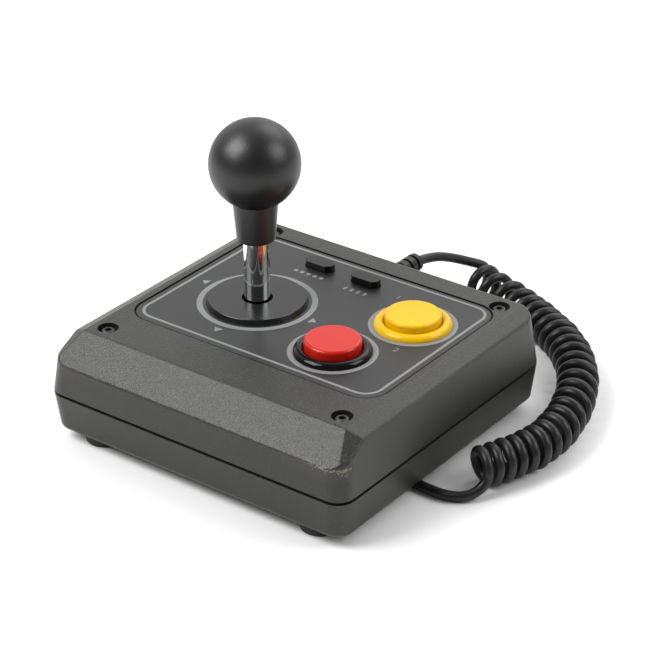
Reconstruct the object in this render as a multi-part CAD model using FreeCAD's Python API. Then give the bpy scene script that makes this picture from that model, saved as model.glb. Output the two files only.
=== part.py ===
"""Arcade stick: a moulded case with a ball-top lever, two push buttons, two keys and a curly cord.

Millimetres. The origin is on the table, under the middle of the case. +X is the player's right,
+Y points away from the player and +Z is up. Each piece is written to its own STEP file.
"""

import FreeCAD, Part
import math
import os
from FreeCAD import Vector

# Case
CASE_WIDTH = 155.0
CASE_DEPTH = 147.0
CASE_TOP = 48.0
UNDERSIDE = 5.0
SEAM_HEIGHT = 22.5
SEAM_GAP = 1.35
SEAM_INSET = 1.2
TONGUE_HEIGHT = 2.4
TONGUE_CLEARANCE = 0.15
WALL = 3.0
CEILING_THICKNESS = 2.2
CORNER_RADIUS = 8.0
UPPER_DRAFT = 0.11
LOWER_DRAFT = 0.095
UNDERSIDE_ROUND = 2.6
SLOPE_TOP_SETBACK = 15.25
SLOPE_FOOT_DROP = 11.4
BEVEL_RUN = 7.0
BEVEL_DROP = 3.2
FACET_SETBACK = 2.4
FACET_SPREAD = 6.2
EDGE_ROUND = 1.8

# Case screws and their bosses
SCREW_SIDE_INSET = 16.5
SCREW_FRONT_INSET = 22.5
SCREW_BACK_INSET = 11.25
SCREW_SHANK = 3.4
SCREW_HEAD = 6.0
SCREW_HEAD_HEIGHT = 2.8
SCREW_HEAD_ROUND = 0.9
SCREW_SOCKET = 3.0
SCREW_SOCKET_DEPTH = 1.4
SCREW_BITE = 7.0
COUNTERBORE = 9.0
COUNTERBORE_DEPTH = 3.6
BOSS_WALL = 1.3
SCREW_CLEARANCE = 0.1
RIB_THICKNESS = 2.0

# Feet
FOOT_DIAMETER = 16.6
FOOT_SINK = 0.8
FOOT_ROUND = 0.8
FOOT_SIDE_INSET = 20.5
FOOT_END_INSET = 13.0
FOOT_CLEARANCE = 0.1

# Face panel
PANEL_SIDE_INSET = 13.3
PANEL_FRONT_INSET = 37.6
PANEL_BACK_INSET = 15.0
PANEL_CORNER = 10.6
PANEL_THICKNESS = 1.2
PANEL_SINK = 0.3
PANEL_GAP = 0.4

# Lever
LEVER_X = -25.25
LEVER_Y = 5.0
LEVER_TILT = 6.5
PIVOT_BELOW_PANEL = 2.3
SHAFT_DIAMETER = 11.2
SHAFT_TAIL_DIAMETER = 8.0
SHAFT_STUD_DIAMETER = 8.0
SHAFT_SHOULDER_BELOW_PIVOT = 13.0
SHAFT_TIP_BELOW_PIVOT = 33.6
BALL_DIAMETER = 39.0
BALL_ABOVE_PANEL = 64.9
NECK_TOP_DIAMETER = 19.5
NECK_FOOT_DIAMETER = 16.6
NECK_FOOT_BELOW_BALL = 34.6
NECK_ROUND = 1.0
GRIP_SOCKET = 7.0
STUD_ABOVE_NECK_FOOT = 20.0

# Collar over the lever opening
COLLAR_DIAMETER = 44.2
COLLAR_HEIGHT = 2.3
COLLAR_WALL = 1.0
COLLAR_TAPER = 1.0
COLLAR_CHAMFER = 0.15
COLLAR_SPIGOT_WALL = 1.2
COLLAR_SPIGOT_DEPTH = 2.6
LEVER_OPENING = 33.2
LEVER_CLEARANCE = 0.3
FIT_CLEARANCE = 0.2

# Gimbal
GIMBAL_OUTER = 19.6
GIMBAL_HEIGHT = 4.0
GIMBAL_PIN = 2.2
PIN_CLEARANCE = 0.06
LUG_THICKNESS = 3.0
LUG_WIDTH = 6.0
LUG_TOP = 2.2
LUG_GAP = 0.5

# Bracket, spring, actuator, switches and gate under the lever
BRACKET_WIDTH = 58.0
BRACKET_DEPTH = 48.0
BRACKET_THICKNESS = 2.5
BRACKET_CORNER = 5.0
BRACKET_BOLT_INSET = 5.0
BRACKET_BOLT = 3.0
BRACKET_BOLT_HEAD = 5.6
BRACKET_NUT = 5.5
BRACKET_NUT_HEIGHT = 2.4
POST_DIAMETER = 6.0
POST_INSET = 11.5
SPRING_WIRE = 1.5
SPRING_TURNS = 4
ACTUATOR_DIAMETER = 14.0
ACTUATOR_FLANGE = 28.0
ACTUATOR_FLANGE_THICKNESS = 2.0
ACTUATOR_FLANGE_BELOW_PIVOT = 15.4
CLIP_THICKNESS = 0.8
CLIP_DIAMETER = 12.0
CLIP_GROOVE = 6.4
CLIP_ABOVE_TIP = 5.6
SWITCH_BOARD_THICKNESS = 1.6
SWITCH_BOARD_BELOW_PIVOT = 29.6
SWITCH_BOARD_HOLE = 24.0
SWITCH_LENGTH = 12.8
SWITCH_THICKNESS = 5.8
SWITCH_HEIGHT = 6.5
SWITCH_PLUNGER = 1.8
SWITCH_PLUNGER_REACH = 0.7
GATE_THICKNESS = 2.5

# Push buttons
RED_X = 26.86
RED_Y = -11.05
RED_CAP_HEIGHT = 6.3
YELLOW_X = 40.3
YELLOW_Y = 27.5
YELLOW_CAP_HEIGHT = 5.7
BUTTON_TRAVEL = 3.0
BEZEL_DIAMETER = 33.3
BEZEL_HEIGHT = 2.7
BEZEL_LIP_HEIGHT = 2.0
BARREL_DIAMETER = 28.6
BARREL_DEPTH = 21.4
BARREL_FLOOR = 2.0
CAP_DIAMETER = 24.3
CAP_CLEARANCE = 0.35
CAP_WALL = 1.8
CAP_EDGE = 1.3
CAP_LIP = 0.8
CAP_LIP_HEIGHT = 2.0
CAP_LIP_BELOW_PANEL = 8.6
STEM_DIAMETER = 5.0
STEM_CLEARANCE = 0.4
STEM_ENTRY = 1.0
BUTTON_SPRING_DIAMETER = 13.0
BUTTON_SPRING_WIRE = 1.0
BUTTON_SPRING_TURNS = 5
NUT_DIAMETER = 36.0
NUT_HEIGHT = 4.0
NUT_NOTCHES = 8
NUT_NOTCH = 3.0
CONTACT_WIDTH = 20.0
CONTACT_DEPTH = 11.0
CONTACT_HEIGHT = 13.0
TERMINAL_WIDTH = 4.8
TERMINAL_THICKNESS = 0.8
TERMINAL_LENGTH = 3.2
TERMINAL_SPACING = 12.0

# Eight-sided keys
SELECT_X = -22.9
START_X = 1.9
KEY_BACK_INSET = 26.7
KEY_LENGTH = 14.0
KEY_WIDTH = 6.5
KEY_HEIGHT = 3.1
KEY_EDGE = 0.3
KEY_CLIP = 2.0
KEY_TRAVEL = 1.2
KEY_CLEARANCE = 0.3
KEY_FLANGE = 1.1
KEY_FLANGE_THICKNESS = 1.4
DOME_HEIGHT = 2.3
DOME_FOOT = 8.0
DOME_TOP = 4.6
KEY_BOARD_LENGTH = 56.0
KEY_BOARD_WIDTH = 14.0
BOARD_THICKNESS = 1.6
KEY_POST_DIAMETER = 5.0
KEY_POST_SPREAD = 24.0

# Main board on the floor of the case
BOARD_X = -12.0
BOARD_BACK_INSET = 22.5
BOARD_LENGTH = 64.0
BOARD_WIDTH = 26.0
BOARD_POST_HEIGHT = 4.0
BOARD_POST_DIAMETER = 6.0
BOARD_POST_INSET = 4.0
SMALL_SCREW = 2.2
SMALL_SCREW_BITE = 6.0
SMALL_SCREW_HOLE_DEPTH = 8.0
SMALL_SCREW_TIP_GAP = 0.5
SMALL_SCREW_HEAD = 4.4
SMALL_SCREW_HEAD_HEIGHT = 1.4
CHIP_LENGTH = 20.0
CHIP_WIDTH = 7.0
CHIP_HEIGHT = 3.4
HEADER_LENGTH = 15.0
HEADER_WIDTH = 6.0
HEADER_HEIGHT = 7.0

# Cord and what is on it
CORD_DIAMETER = 4.5
COIL_DIAMETER = 18.5
RELIEF_X = -9.4
RELIEF_HEIGHT = 32.0
RELIEF_END = 101.5
RELIEF_DIAMETER = 9.2
RELIEF_TIP_DIAMETER = 8.6
RELIEF_COLLAR = 11.6
RELIEF_COLLAR_THICKNESS = 2.0
RELIEF_FLANGE = 13.0
RELIEF_FLANGE_THICKNESS = 2.0
RELIEF_GROOVES = 5
RELIEF_GROOVE_WIDTH = 1.6
RELIEF_GROOVE_DEPTH = 1.2
LEAD_POINTS = (
    (RELIEF_X, RELIEF_END, RELIEF_HEIGHT),
    (-8.6, 112.0, 31.0),
    (-6.4, 122.0, 28.0),
    (-2.4, 132.0, 23.0),
    (2.6, 139.6, 17.6),
)
COIL_POINTS = (
    (1.8, 136.6, 12.0),
    (23.0, 131.5, 9.4),
    (45.0, 121.8, 9.4),
    (66.5, 109.0, 9.4),
    (84.0, 90.0, 9.4),
    (95.5, 66.5, 9.4),
    (101.5, 41.0, 9.4),
    (99.8, 19.0, 9.4),
    (92.5, 0.4, 9.4),
)
TAIL_POINTS = (
    (96.0, 3.6, 3.4),
    (95.0, -10.5, 2.3),
    (85.5, -19.5, 2.25),
    (71.0, -17.5, 2.25),
    (51.0, -9.5, 2.25),
    (34.0, 6.0, 2.25),
    (20.5, 25.0, 2.25),
    (9.0, 46.0, 2.25),
    (-1.0, 67.5, 2.25),
    (-14.5, 85.0, 2.25),
    (-34.0, 91.5, 6.5),
)
PLUG_WIDTH = 31.0
PLUG_THICKNESS = 13.0
PLUG_LENGTH = 28.0
PLUG_ROUND = 2.5
PLUG_BOOT_LENGTH = 10.0
PLUG_BOOT_DIAMETER = 8.4
PLUG_SHELL_WIDTH = 17.0
PLUG_SHELL_HEIGHT = 8.4
PLUG_SHELL_LENGTH = 6.0
PLUG_SHELL_WALL = 0.6
PLUG_SHELL_SLANT = 1.6

# Heights and places that follow from the sizes above
PANEL_TOP = CASE_TOP - PANEL_SINK
RECESS_FLOOR = PANEL_TOP - PANEL_THICKNESS
CEILING = RECESS_FLOOR - CEILING_THICKNESS
FLOOR = UNDERSIDE + WALL
PIVOT = PANEL_TOP - PIVOT_BELOW_PANEL
TILT = math.radians(LEVER_TILT)
SHAFT_RADIUS = SHAFT_DIAMETER / 2
HALF_WIDTH = CASE_WIDTH / 2
HALF_DEPTH = CASE_DEPTH / 2
PANEL_WIDTH = CASE_WIDTH - 2 * PANEL_SIDE_INSET
PANEL_DEPTH = CASE_DEPTH - PANEL_FRONT_INSET - PANEL_BACK_INSET
PANEL_CENTER_Y = (PANEL_FRONT_INSET - PANEL_BACK_INSET) / 2
KEY_Y = HALF_DEPTH - KEY_BACK_INSET
BOARD_Y = HALF_DEPTH - BOARD_BACK_INSET
SCREW_X = HALF_WIDTH - SCREW_SIDE_INSET
SCREW_PLACES = [
    (side * SCREW_X, y)
    for side in (-1, 1)
    for y in (-HALF_DEPTH + SCREW_FRONT_INSET, HALF_DEPTH - SCREW_BACK_INSET)
]
LEVER_AXIS = Vector(LEVER_X, LEVER_Y, 0)
BRACKET_BOTTOM = CEILING - BRACKET_THICKNESS
SWITCH_BOARD_TOP = PIVOT - SWITCH_BOARD_BELOW_PIVOT + SWITCH_BOARD_THICKNESS
GATE_TOP = SWITCH_BOARD_TOP - SWITCH_BOARD_THICKNESS
GATE_BOTTOM = GATE_TOP - GATE_THICKNESS
KEY_BOARD_TOP = CEILING - KEY_CLEARANCE - KEY_FLANGE_THICKNESS - DOME_HEIGHT
BOARD_TOP = FLOOR + BOARD_POST_HEIGHT + BOARD_THICKNESS


def cylinder(diameter, bottom, top, x=0.0, y=0.0):
    """An upright round bar."""
    return Part.makeCylinder(diameter / 2, top - bottom, Vector(x, y, bottom))


def ring(outer, inner, bottom, top, x=0.0, y=0.0):
    """An upright tube."""
    return cylinder(outer, bottom, top, x, y).cut(cylinder(inner, bottom, top, x, y))


def block(width, depth, bottom, top, x=0.0, y=0.0):
    """An upright box centred on x and y."""
    return Part.makeBox(width, depth, top - bottom, Vector(x - width / 2, y - depth / 2, bottom))


def rod(diameter, start, end):
    """A round bar between two points."""
    way = end - start
    return Part.makeCylinder(diameter / 2, way.Length, start, way)


def rounded_wire(width, depth, radius, height, x=0.0, y=0.0):
    """The outline of a rectangle with round corners, at one height."""
    a = width / 2 - radius
    b = depth / 2 - radius
    middles = [(a, -b), (a, b), (-a, b), (-a, -b)]
    edges = []
    for turn, (cx, cy) in enumerate(middles):
        angles = [math.pi / 2 * (turn - 1 + share) for share in (0, 0.5, 1)]
        points = [
            Vector(x + cx + radius * math.cos(t), y + cy + radius * math.sin(t), height)
            for t in angles
        ]
        edges.append(Part.Arc(*points).toShape())
    joined = []
    for here, following in zip(edges, edges[1:] + edges[:1]):
        joined.append(here)
        start = here.Vertexes[-1].Point
        end = following.Vertexes[0].Point
        if (end - start).Length > 1e-6:
            joined.append(Part.makeLine(start, end))
    return Part.Wire(joined)


def rounded_block(width, depth, radius, bottom, top, x=0.0, y=0.0):
    """An upright plate with round corners."""
    face = Part.Face(rounded_wire(width, depth, radius, bottom, x, y))
    return face.extrude(Vector(0, 0, top - bottom))


def turned(profile, x=0.0, y=0.0):
    """A solid of revolution about an upright axis, from (radius, height) points."""
    points = [Vector(x + r, y, z) for r, z in profile]
    face = Part.Face(Part.makePolygon(points + points[:1]))
    return face.revolve(Vector(x, y, 0), Vector(0, 0, 1), 360)


def beyond(point, normal):
    """A large block that fills the side of a plane that its normal points to."""
    size = 4 * CASE_WIDTH
    slab = Part.makeBox(size, size, size, Vector(-size / 2, -size / 2, 0))
    slab.Placement = FreeCAD.Placement(point, FreeCAD.Rotation(Vector(0, 0, 1), normal))
    return slab


def unit(vector):
    """The direction of a vector."""
    return vector * (1 / vector.Length)


def circle_places(radius, count, x, y):
    """Points spread evenly round a circle."""
    turns = [2 * math.pi * n / count for n in range(count)]
    return [(x + radius * math.cos(t), y + radius * math.sin(t)) for t in turns]


def coil_spring(diameter, wire, bottom, top, turns, x, y):
    """A compression spring of square wire, lofted through sections round its axis."""
    steps = 10
    rise = (top - bottom - wire) / (turns * steps)
    middle = diameter / 2
    corners = [(-wire / 2, 0), (wire / 2, 0), (wire / 2, wire), (-wire / 2, wire)]
    sections = []
    for n in range(turns * steps + 1):
        angle = 2 * math.pi * n / steps
        points = [
            Vector(
                x + (middle + dr) * math.cos(angle),
                y + (middle + dr) * math.sin(angle),
                bottom + n * rise + dz,
            )
            for dr, dz in corners
        ]
        sections.append(Part.makePolygon(points + points[:1]))
    return Part.makeLoft(sections, True, True)


def case_outline(height, draft, inset):
    """The case's outline at one height, drawn in by its draft and by an inset."""
    lean = draft * abs(height - SEAM_HEIGHT) + inset
    radius = max(CORNER_RADIUS - inset, 1.0)
    return rounded_wire(CASE_WIDTH - 2 * lean, CASE_DEPTH - 2 * lean, radius, height)


def case_form(bottom, top, draft, inset):
    """A length of the case's drafted form."""
    outlines = [case_outline(z, draft, inset) for z in (bottom, top)]
    return Part.makeLoft(outlines, True, True)


def upper_form(bottom, top, inset):
    """The upper case with its front slope and side bevels, drawn in by an inset."""
    form = case_form(bottom, top, UPPER_DRAFT, inset)
    slope_top = -HALF_DEPTH + SLOPE_TOP_SETBACK
    foot_height = CASE_TOP - SLOPE_FOOT_DROP
    foot = -HALF_DEPTH + UPPER_DRAFT * (foot_height - SEAM_HEIGHT)
    slope_normal = unit(Vector(0, -SLOPE_FOOT_DROP, slope_top - foot))
    bevel_height = CASE_TOP - BEVEL_DROP
    bevel_foot = HALF_WIDTH - UPPER_DRAFT * (bevel_height - SEAM_HEIGHT)
    corner = Vector(bevel_foot - BEVEL_RUN, slope_top, CASE_TOP)
    form = form.cut(beyond(corner - slope_normal * inset, slope_normal))
    along_bevel = Vector(BEVEL_RUN, FACET_SETBACK, -BEVEL_DROP)
    along_slope = Vector(FACET_SPREAD, foot - slope_top, -SLOPE_FOOT_DROP)
    bevel_normal = unit(Vector(BEVEL_DROP, 0, BEVEL_RUN))
    facet_normal = unit(along_slope.cross(along_bevel))
    for side in (-1, 1):
        edge = Vector(side * corner.x, corner.y, corner.z)
        for right in (bevel_normal, facet_normal):
            normal = Vector(side * right.x, right.y, right.z)
            form = form.cut(beyond(edge - normal * inset, normal))
    return form


def soften(form, radius, wanted):
    """Rounds the edges of a form that a test picks."""
    return form.makeFillet(radius, [edge for edge in form.Edges if wanted(edge)])


def key_form(margin, bottom, top, x):
    """An upright bar with clipped corners: a key's outline, or that outline grown by a margin."""
    a = KEY_LENGTH / 2 + margin
    b = KEY_WIDTH / 2 + margin
    clip = KEY_CLIP + margin * (2 - math.sqrt(2))
    quarter = [(a, b - clip), (a - clip, b)]
    left = [(-u, v) for u, v in reversed(quarter)]
    outline = quarter + left + [(-u, -v) for u, v in quarter + left]
    points = [Vector(x + u, KEY_Y + v, bottom) for u, v in outline]
    return Part.Face(Part.makePolygon(points + points[:1])).extrude(Vector(0, 0, top - bottom))


def button_places():
    """Name, place and cap height of each push button."""
    return [
        ("red", RED_X, RED_Y, RED_CAP_HEIGHT),
        ("yellow", YELLOW_X, YELLOW_Y, YELLOW_CAP_HEIGHT),
    ]


def key_places():
    """Name and place of each eight-sided key."""
    return [("select", SELECT_X), ("start", START_X)]


def bracket_bolt_places():
    """The bolts that hold the lever bracket under the top."""
    a = BRACKET_WIDTH / 2 - BRACKET_BOLT_INSET
    b = BRACKET_DEPTH / 2 - BRACKET_BOLT_INSET
    return [(LEVER_X + i * a, LEVER_Y + j * b) for i in (-1, 1) for j in (-1, 1)]


def post_places():
    """The bracket's posts, which carry the switch board and the gate."""
    a = BRACKET_WIDTH / 2 - POST_INSET
    b = BRACKET_DEPTH / 2 - BRACKET_BOLT_INSET
    return [(LEVER_X + i * a, LEVER_Y + j * b) for i in (-1, 1) for j in (-1, 1)]


def key_post_places():
    """The posts under the top that carry the key board."""
    middle = (SELECT_X + START_X) / 2
    return [(middle + i * KEY_POST_SPREAD, KEY_Y) for i in (-1, 0, 1)]


def board_post_places():
    """The posts on the floor that carry the main board."""
    a = BOARD_LENGTH / 2 - BOARD_POST_INSET
    b = BOARD_WIDTH / 2 - BOARD_POST_INSET
    return [(BOARD_X + i * a, BOARD_Y + j * b) for i in (-1, 1) for j in (-1, 1)]


def foot_places():
    """Name and place of each foot."""
    x = HALF_WIDTH - FOOT_SIDE_INSET
    y = HALF_DEPTH - FOOT_END_INSET
    return [
        (f"foot_{end}_{side}", i * x, j * y)
        for end, j in (("front", -1), ("rear", 1))
        for side, i in (("left", -1), ("right", 1))
    ]


def openings(bottom, top):
    """What passes through the panel and the top: the lever, the push buttons and the keys."""
    holes = [cylinder(LEVER_OPENING, bottom, top, LEVER_X, LEVER_Y)]
    for _, x, y, _ in button_places():
        holes.append(cylinder(BARREL_DIAMETER + 2 * FIT_CLEARANCE, bottom, top, x, y))
    for _, x in key_places():
        holes.append(key_form(KEY_CLEARANCE, bottom, top, x))
    return Part.makeCompound(holes)


def top_shell():
    """The upper moulding: hollow, with the panel's recess, its openings and its posts."""
    edge = SEAM_HEIGHT + SEAM_GAP / 2
    shell = upper_form(edge, CASE_TOP, 0)
    shell = soften(shell, EDGE_ROUND, lambda e: min(v.Z for v in e.Vertexes) > edge + 1)
    cavity = upper_form(edge, CASE_TOP, WALL)
    cavity = cavity.cut(beyond(Vector(0, 0, CEILING), Vector(0, 0, 1)))
    shell = shell.cut(cavity)
    rebate_top = SEAM_HEIGHT + TONGUE_HEIGHT + TONGUE_CLEARANCE
    rebate = case_form(edge, rebate_top, UPPER_DRAFT, SEAM_INSET - TONGUE_CLEARANCE)
    shell = shell.cut(rebate)
    limit = upper_form(edge, CASE_TOP, WALL / 2)
    boss = COUNTERBORE + 2 * BOSS_WALL
    for x, y in SCREW_PLACES:
        shell = shell.fuse(cylinder(boss, SEAM_HEIGHT, CEILING + 1, x, y))
        reach = HALF_WIDTH - abs(x)
        middle = x + math.copysign(reach / 2, x)
        rib = block(reach, RIB_THICKNESS, rebate_top, CEILING + 1, middle, y)
        shell = shell.fuse(rib.common(limit))
    for x, y in key_post_places():
        shell = shell.fuse(cylinder(KEY_POST_DIAMETER, KEY_BOARD_TOP, CEILING + 1, x, y))
    recess_width = PANEL_WIDTH + 2 * PANEL_GAP
    recess_depth = PANEL_DEPTH + 2 * PANEL_GAP
    recess_corner = PANEL_CORNER + PANEL_GAP
    shell = shell.cut(
        rounded_block(recess_width, recess_depth, recess_corner, RECESS_FLOOR, CASE_TOP, 0, PANEL_CENTER_Y)
    )
    shell = shell.cut(openings(CEILING - 1, RECESS_FLOOR + 1))
    for x, y in SCREW_PLACES:
        shell = shell.cut(cylinder(COUNTERBORE, CASE_TOP - COUNTERBORE_DEPTH, CASE_TOP, x, y))
        shell = shell.cut(cylinder(SCREW_SHANK + 2 * SCREW_CLEARANCE, SEAM_HEIGHT, CASE_TOP, x, y))
    for x, y in bracket_bolt_places():
        shell = shell.cut(bolt_form(x, y, SCREW_CLEARANCE))
    for x, y in key_post_places():
        shell = shell.cut(cylinder(SMALL_SCREW, KEY_BOARD_TOP, CEILING, x, y))
    way_out = Vector(RELIEF_X, HALF_DEPTH - 3 * WALL, RELIEF_HEIGHT)
    shell = shell.cut(rod(RELIEF_DIAMETER + FIT_CLEARANCE, way_out, way_out + Vector(0, 5 * WALL, 0)))
    return shell.removeSplitter()


def bottom_shell():
    """The lower moulding: a tray with a tongue, screw bosses, board posts and sockets for the feet."""
    rim = SEAM_HEIGHT - SEAM_GAP / 2
    shell = case_form(UNDERSIDE, rim, LOWER_DRAFT, 0)
    shell = soften(shell, UNDERSIDE_ROUND, lambda e: max(v.Z for v in e.Vertexes) < UNDERSIDE + 0.1)
    tongue_top = SEAM_HEIGHT + TONGUE_HEIGHT
    shell = shell.fuse(case_form(rim - 1, tongue_top, UPPER_DRAFT, SEAM_INSET + 0.1))
    shell = shell.cut(case_form(FLOOR, tongue_top + 1, LOWER_DRAFT, WALL))
    boss = COUNTERBORE + 2 * BOSS_WALL
    for x, y in SCREW_PLACES:
        shell = shell.fuse(cylinder(boss, FLOOR - 1, SEAM_HEIGHT, x, y))
    for x, y in board_post_places():
        shell = shell.fuse(cylinder(BOARD_POST_DIAMETER, FLOOR - 1, FLOOR + BOARD_POST_HEIGHT, x, y))
        shell = shell.cut(cylinder(SMALL_SCREW, FLOOR, FLOOR + BOARD_POST_HEIGHT, x, y))
    bite = SEAM_HEIGHT - SCREW_BITE - 1
    for x, y in SCREW_PLACES:
        shell = shell.cut(cylinder(SCREW_SHANK + 2 * SCREW_CLEARANCE, bite, SEAM_HEIGHT, x, y))
    for _, x, y in foot_places():
        socket = FOOT_DIAMETER + 2 * FOOT_CLEARANCE
        shell = shell.cut(cylinder(socket, 0, UNDERSIDE + FOOT_SINK, x, y))
    return shell.removeSplitter()


def foot(x, y):
    """A rubber foot, glued into its socket."""
    form = cylinder(FOOT_DIAMETER, 0, UNDERSIDE + FOOT_SINK, x, y)
    return soften(form, FOOT_ROUND, lambda e: max(v.Z for v in e.Vertexes) < 0.1)


def face_panel():
    """The thin plate on the top."""
    plate = rounded_block(
        PANEL_WIDTH, PANEL_DEPTH, PANEL_CORNER, RECESS_FLOOR, PANEL_TOP, 0, PANEL_CENTER_Y
    )
    return plate.cut(openings(RECESS_FLOOR - 1, PANEL_TOP + 1))


def case_screw(x, y):
    """A socket-head screw from the top down into the lower boss."""
    seat = CASE_TOP - COUNTERBORE_DEPTH
    head_top = seat + SCREW_HEAD_HEIGHT
    screw = cylinder(SCREW_HEAD, seat, head_top, x, y)
    screw = soften(screw, SCREW_HEAD_ROUND, lambda e: min(v.Z for v in e.Vertexes) > head_top - 0.1)
    screw = screw.fuse(cylinder(SCREW_SHANK, SEAM_HEIGHT - SCREW_BITE, seat, x, y))
    places = circle_places(SCREW_SOCKET / 2, 6, x, y)
    points = [Vector(px, py, head_top) for px, py in places]
    socket = Part.Face(Part.makePolygon(points + points[:1]))
    return screw.cut(socket.extrude(Vector(0, 0, -SCREW_SOCKET_DEPTH)))


def bolt_form(x, y, grow):
    """A countersunk bolt through the top and the bracket, grown all round for its hole."""
    head = BRACKET_BOLT_HEAD / 2 + grow
    shank = BRACKET_BOLT / 2 + grow
    neck = RECESS_FLOOR - (head - shank)
    end = BRACKET_BOTTOM - BRACKET_NUT_HEIGHT - 0.8
    return turned([(0, end), (shank, end), (shank, neck), (head, RECESS_FLOOR), (0, RECESS_FLOOR)], x, y)


def bracket_nut(x, y):
    """A hexagon nut under the bracket."""
    across = BRACKET_NUT / math.cos(math.pi / 6) / 2
    points = [Vector(px, py, BRACKET_BOTTOM) for px, py in circle_places(across, 6, x, y)]
    nut = Part.Face(Part.makePolygon(points + points[:1]))
    nut = nut.extrude(Vector(0, 0, -BRACKET_NUT_HEIGHT))
    hole = BRACKET_BOLT + 2 * SCREW_CLEARANCE
    return nut.cut(cylinder(hole, BRACKET_BOTTOM - BRACKET_NUT_HEIGHT, BRACKET_BOTTOM, x, y))


def collar_hole():
    """The collar's hole: the shaft's section at full tilt on both axes, and a clearance."""
    both = math.atan(math.hypot(math.tan(TILT), math.tan(TILT)))
    rise = PANEL_TOP + COLLAR_HEIGHT - PIVOT
    return 2 * (SHAFT_RADIUS / math.cos(both) + rise * math.tan(both) + LEVER_CLEARANCE)


def lever_collar():
    """The shallow tapered cap over the lever's opening, with a spigot that locates it."""
    top = PANEL_TOP + COLLAR_HEIGHT
    under = top - COLLAR_WALL
    outer = COLLAR_DIAMETER / 2
    inner = outer - COLLAR_TAPER
    hole = collar_hole() / 2
    spigot = LEVER_OPENING / 2 - FIT_CLEARANCE
    bore = spigot - COLLAR_SPIGOT_WALL
    end = PANEL_TOP - COLLAR_SPIGOT_DEPTH
    edge = [(inner - COLLAR_CHAMFER, top), (inner, top - COLLAR_CHAMFER), (outer, PANEL_TOP)]
    skirt = [(spigot, PANEL_TOP), (spigot, end), (bore, end), (bore, under)]
    return turned([(hole, under), (hole, top)] + edge + skirt, LEVER_X, LEVER_Y)


def lug_inner():
    """How far the bracket's lugs stand from the lever's axis."""
    return GIMBAL_OUTER / 2 + LUG_GAP


def lever_bracket():
    """The moulded carrier under the top, with lugs for the gimbal and posts for the boards."""
    bracket = rounded_block(
        BRACKET_WIDTH, BRACKET_DEPTH, BRACKET_CORNER, BRACKET_BOTTOM, CEILING, LEVER_X, LEVER_Y
    )
    lug_middle = lug_inner() + LUG_THICKNESS / 2
    swing = GIMBAL_OUTER + 2 * (LUG_GAP + LEVER_CLEARANCE)
    bracket = bracket.cut(cylinder(swing, BRACKET_BOTTOM, CEILING, LEVER_X, LEVER_Y))
    for side in (-1, 1):
        x = LEVER_X + side * lug_middle
        bracket = bracket.fuse(block(LUG_THICKNESS, LUG_WIDTH, BRACKET_BOTTOM, PIVOT + LUG_TOP, x, LEVER_Y))
    span = Vector(lug_inner() + LUG_THICKNESS + 1, 0, 0)
    middle = Vector(LEVER_X, LEVER_Y, PIVOT)
    bracket = bracket.cut(rod(GIMBAL_PIN + 2 * PIN_CLEARANCE, middle - span, middle + span))
    for x, y in post_places():
        bracket = bracket.fuse(cylinder(POST_DIAMETER, SWITCH_BOARD_TOP, BRACKET_BOTTOM + 1, x, y))
        bracket = bracket.cut(cylinder(SMALL_SCREW, SWITCH_BOARD_TOP, SWITCH_BOARD_TOP + SMALL_SCREW_HOLE_DEPTH, x, y))
    for x, y in bracket_bolt_places():
        hole = BRACKET_BOLT + 2 * SCREW_CLEARANCE
        bracket = bracket.cut(cylinder(hole, BRACKET_BOTTOM, CEILING, x, y))
    return bracket.removeSplitter()


def gimbal_ring():
    """The ring between the two axes: it turns on its own pins, and carries the lever's pin."""
    half = GIMBAL_HEIGHT / 2
    lean = math.tan(TILT) * half
    inner = 2 * (SHAFT_RADIUS / math.cos(TILT) + lean + LEVER_CLEARANCE)
    body = ring(GIMBAL_OUTER, inner, PIVOT - half, PIVOT + half, LEVER_X, LEVER_Y)
    middle = Vector(LEVER_X, LEVER_Y, PIVOT)
    for side in (-1, 1):
        start = middle + Vector(side * (inner / 2 + 1), 0, 0)
        end = middle + Vector(side * (lug_inner() + LUG_THICKNESS - 0.2), 0, 0)
        body = body.fuse(rod(GIMBAL_PIN, start, end))
    reach = Vector(0, GIMBAL_OUTER, 0)
    bore = rod(GIMBAL_PIN + 2 * PIN_CLEARANCE, middle - reach, middle + reach)
    return body.cut(bore).removeSplitter()


def pivot_pin():
    """The pin through the shaft, on which the lever tilts in the gimbal ring."""
    middle = Vector(LEVER_X, LEVER_Y, PIVOT)
    reach = Vector(0, GIMBAL_OUTER / 2 - 0.4, 0)
    return rod(GIMBAL_PIN, middle - reach, middle + reach)


def grip_heights():
    """Heights of the ball's centre, the neck's foot and the neck's top."""
    ball = PANEL_TOP + BALL_ABOVE_PANEL
    radius = BALL_DIAMETER / 2
    neck_top = ball - math.sqrt(radius**2 - (NECK_TOP_DIAMETER / 2) ** 2)
    return ball, ball - NECK_FOOT_BELOW_BALL, neck_top


def clip_bottom():
    """The height of the clip that holds the actuator."""
    return PIVOT - SHAFT_TIP_BELOW_PIVOT + CLIP_ABOVE_TIP


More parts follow.
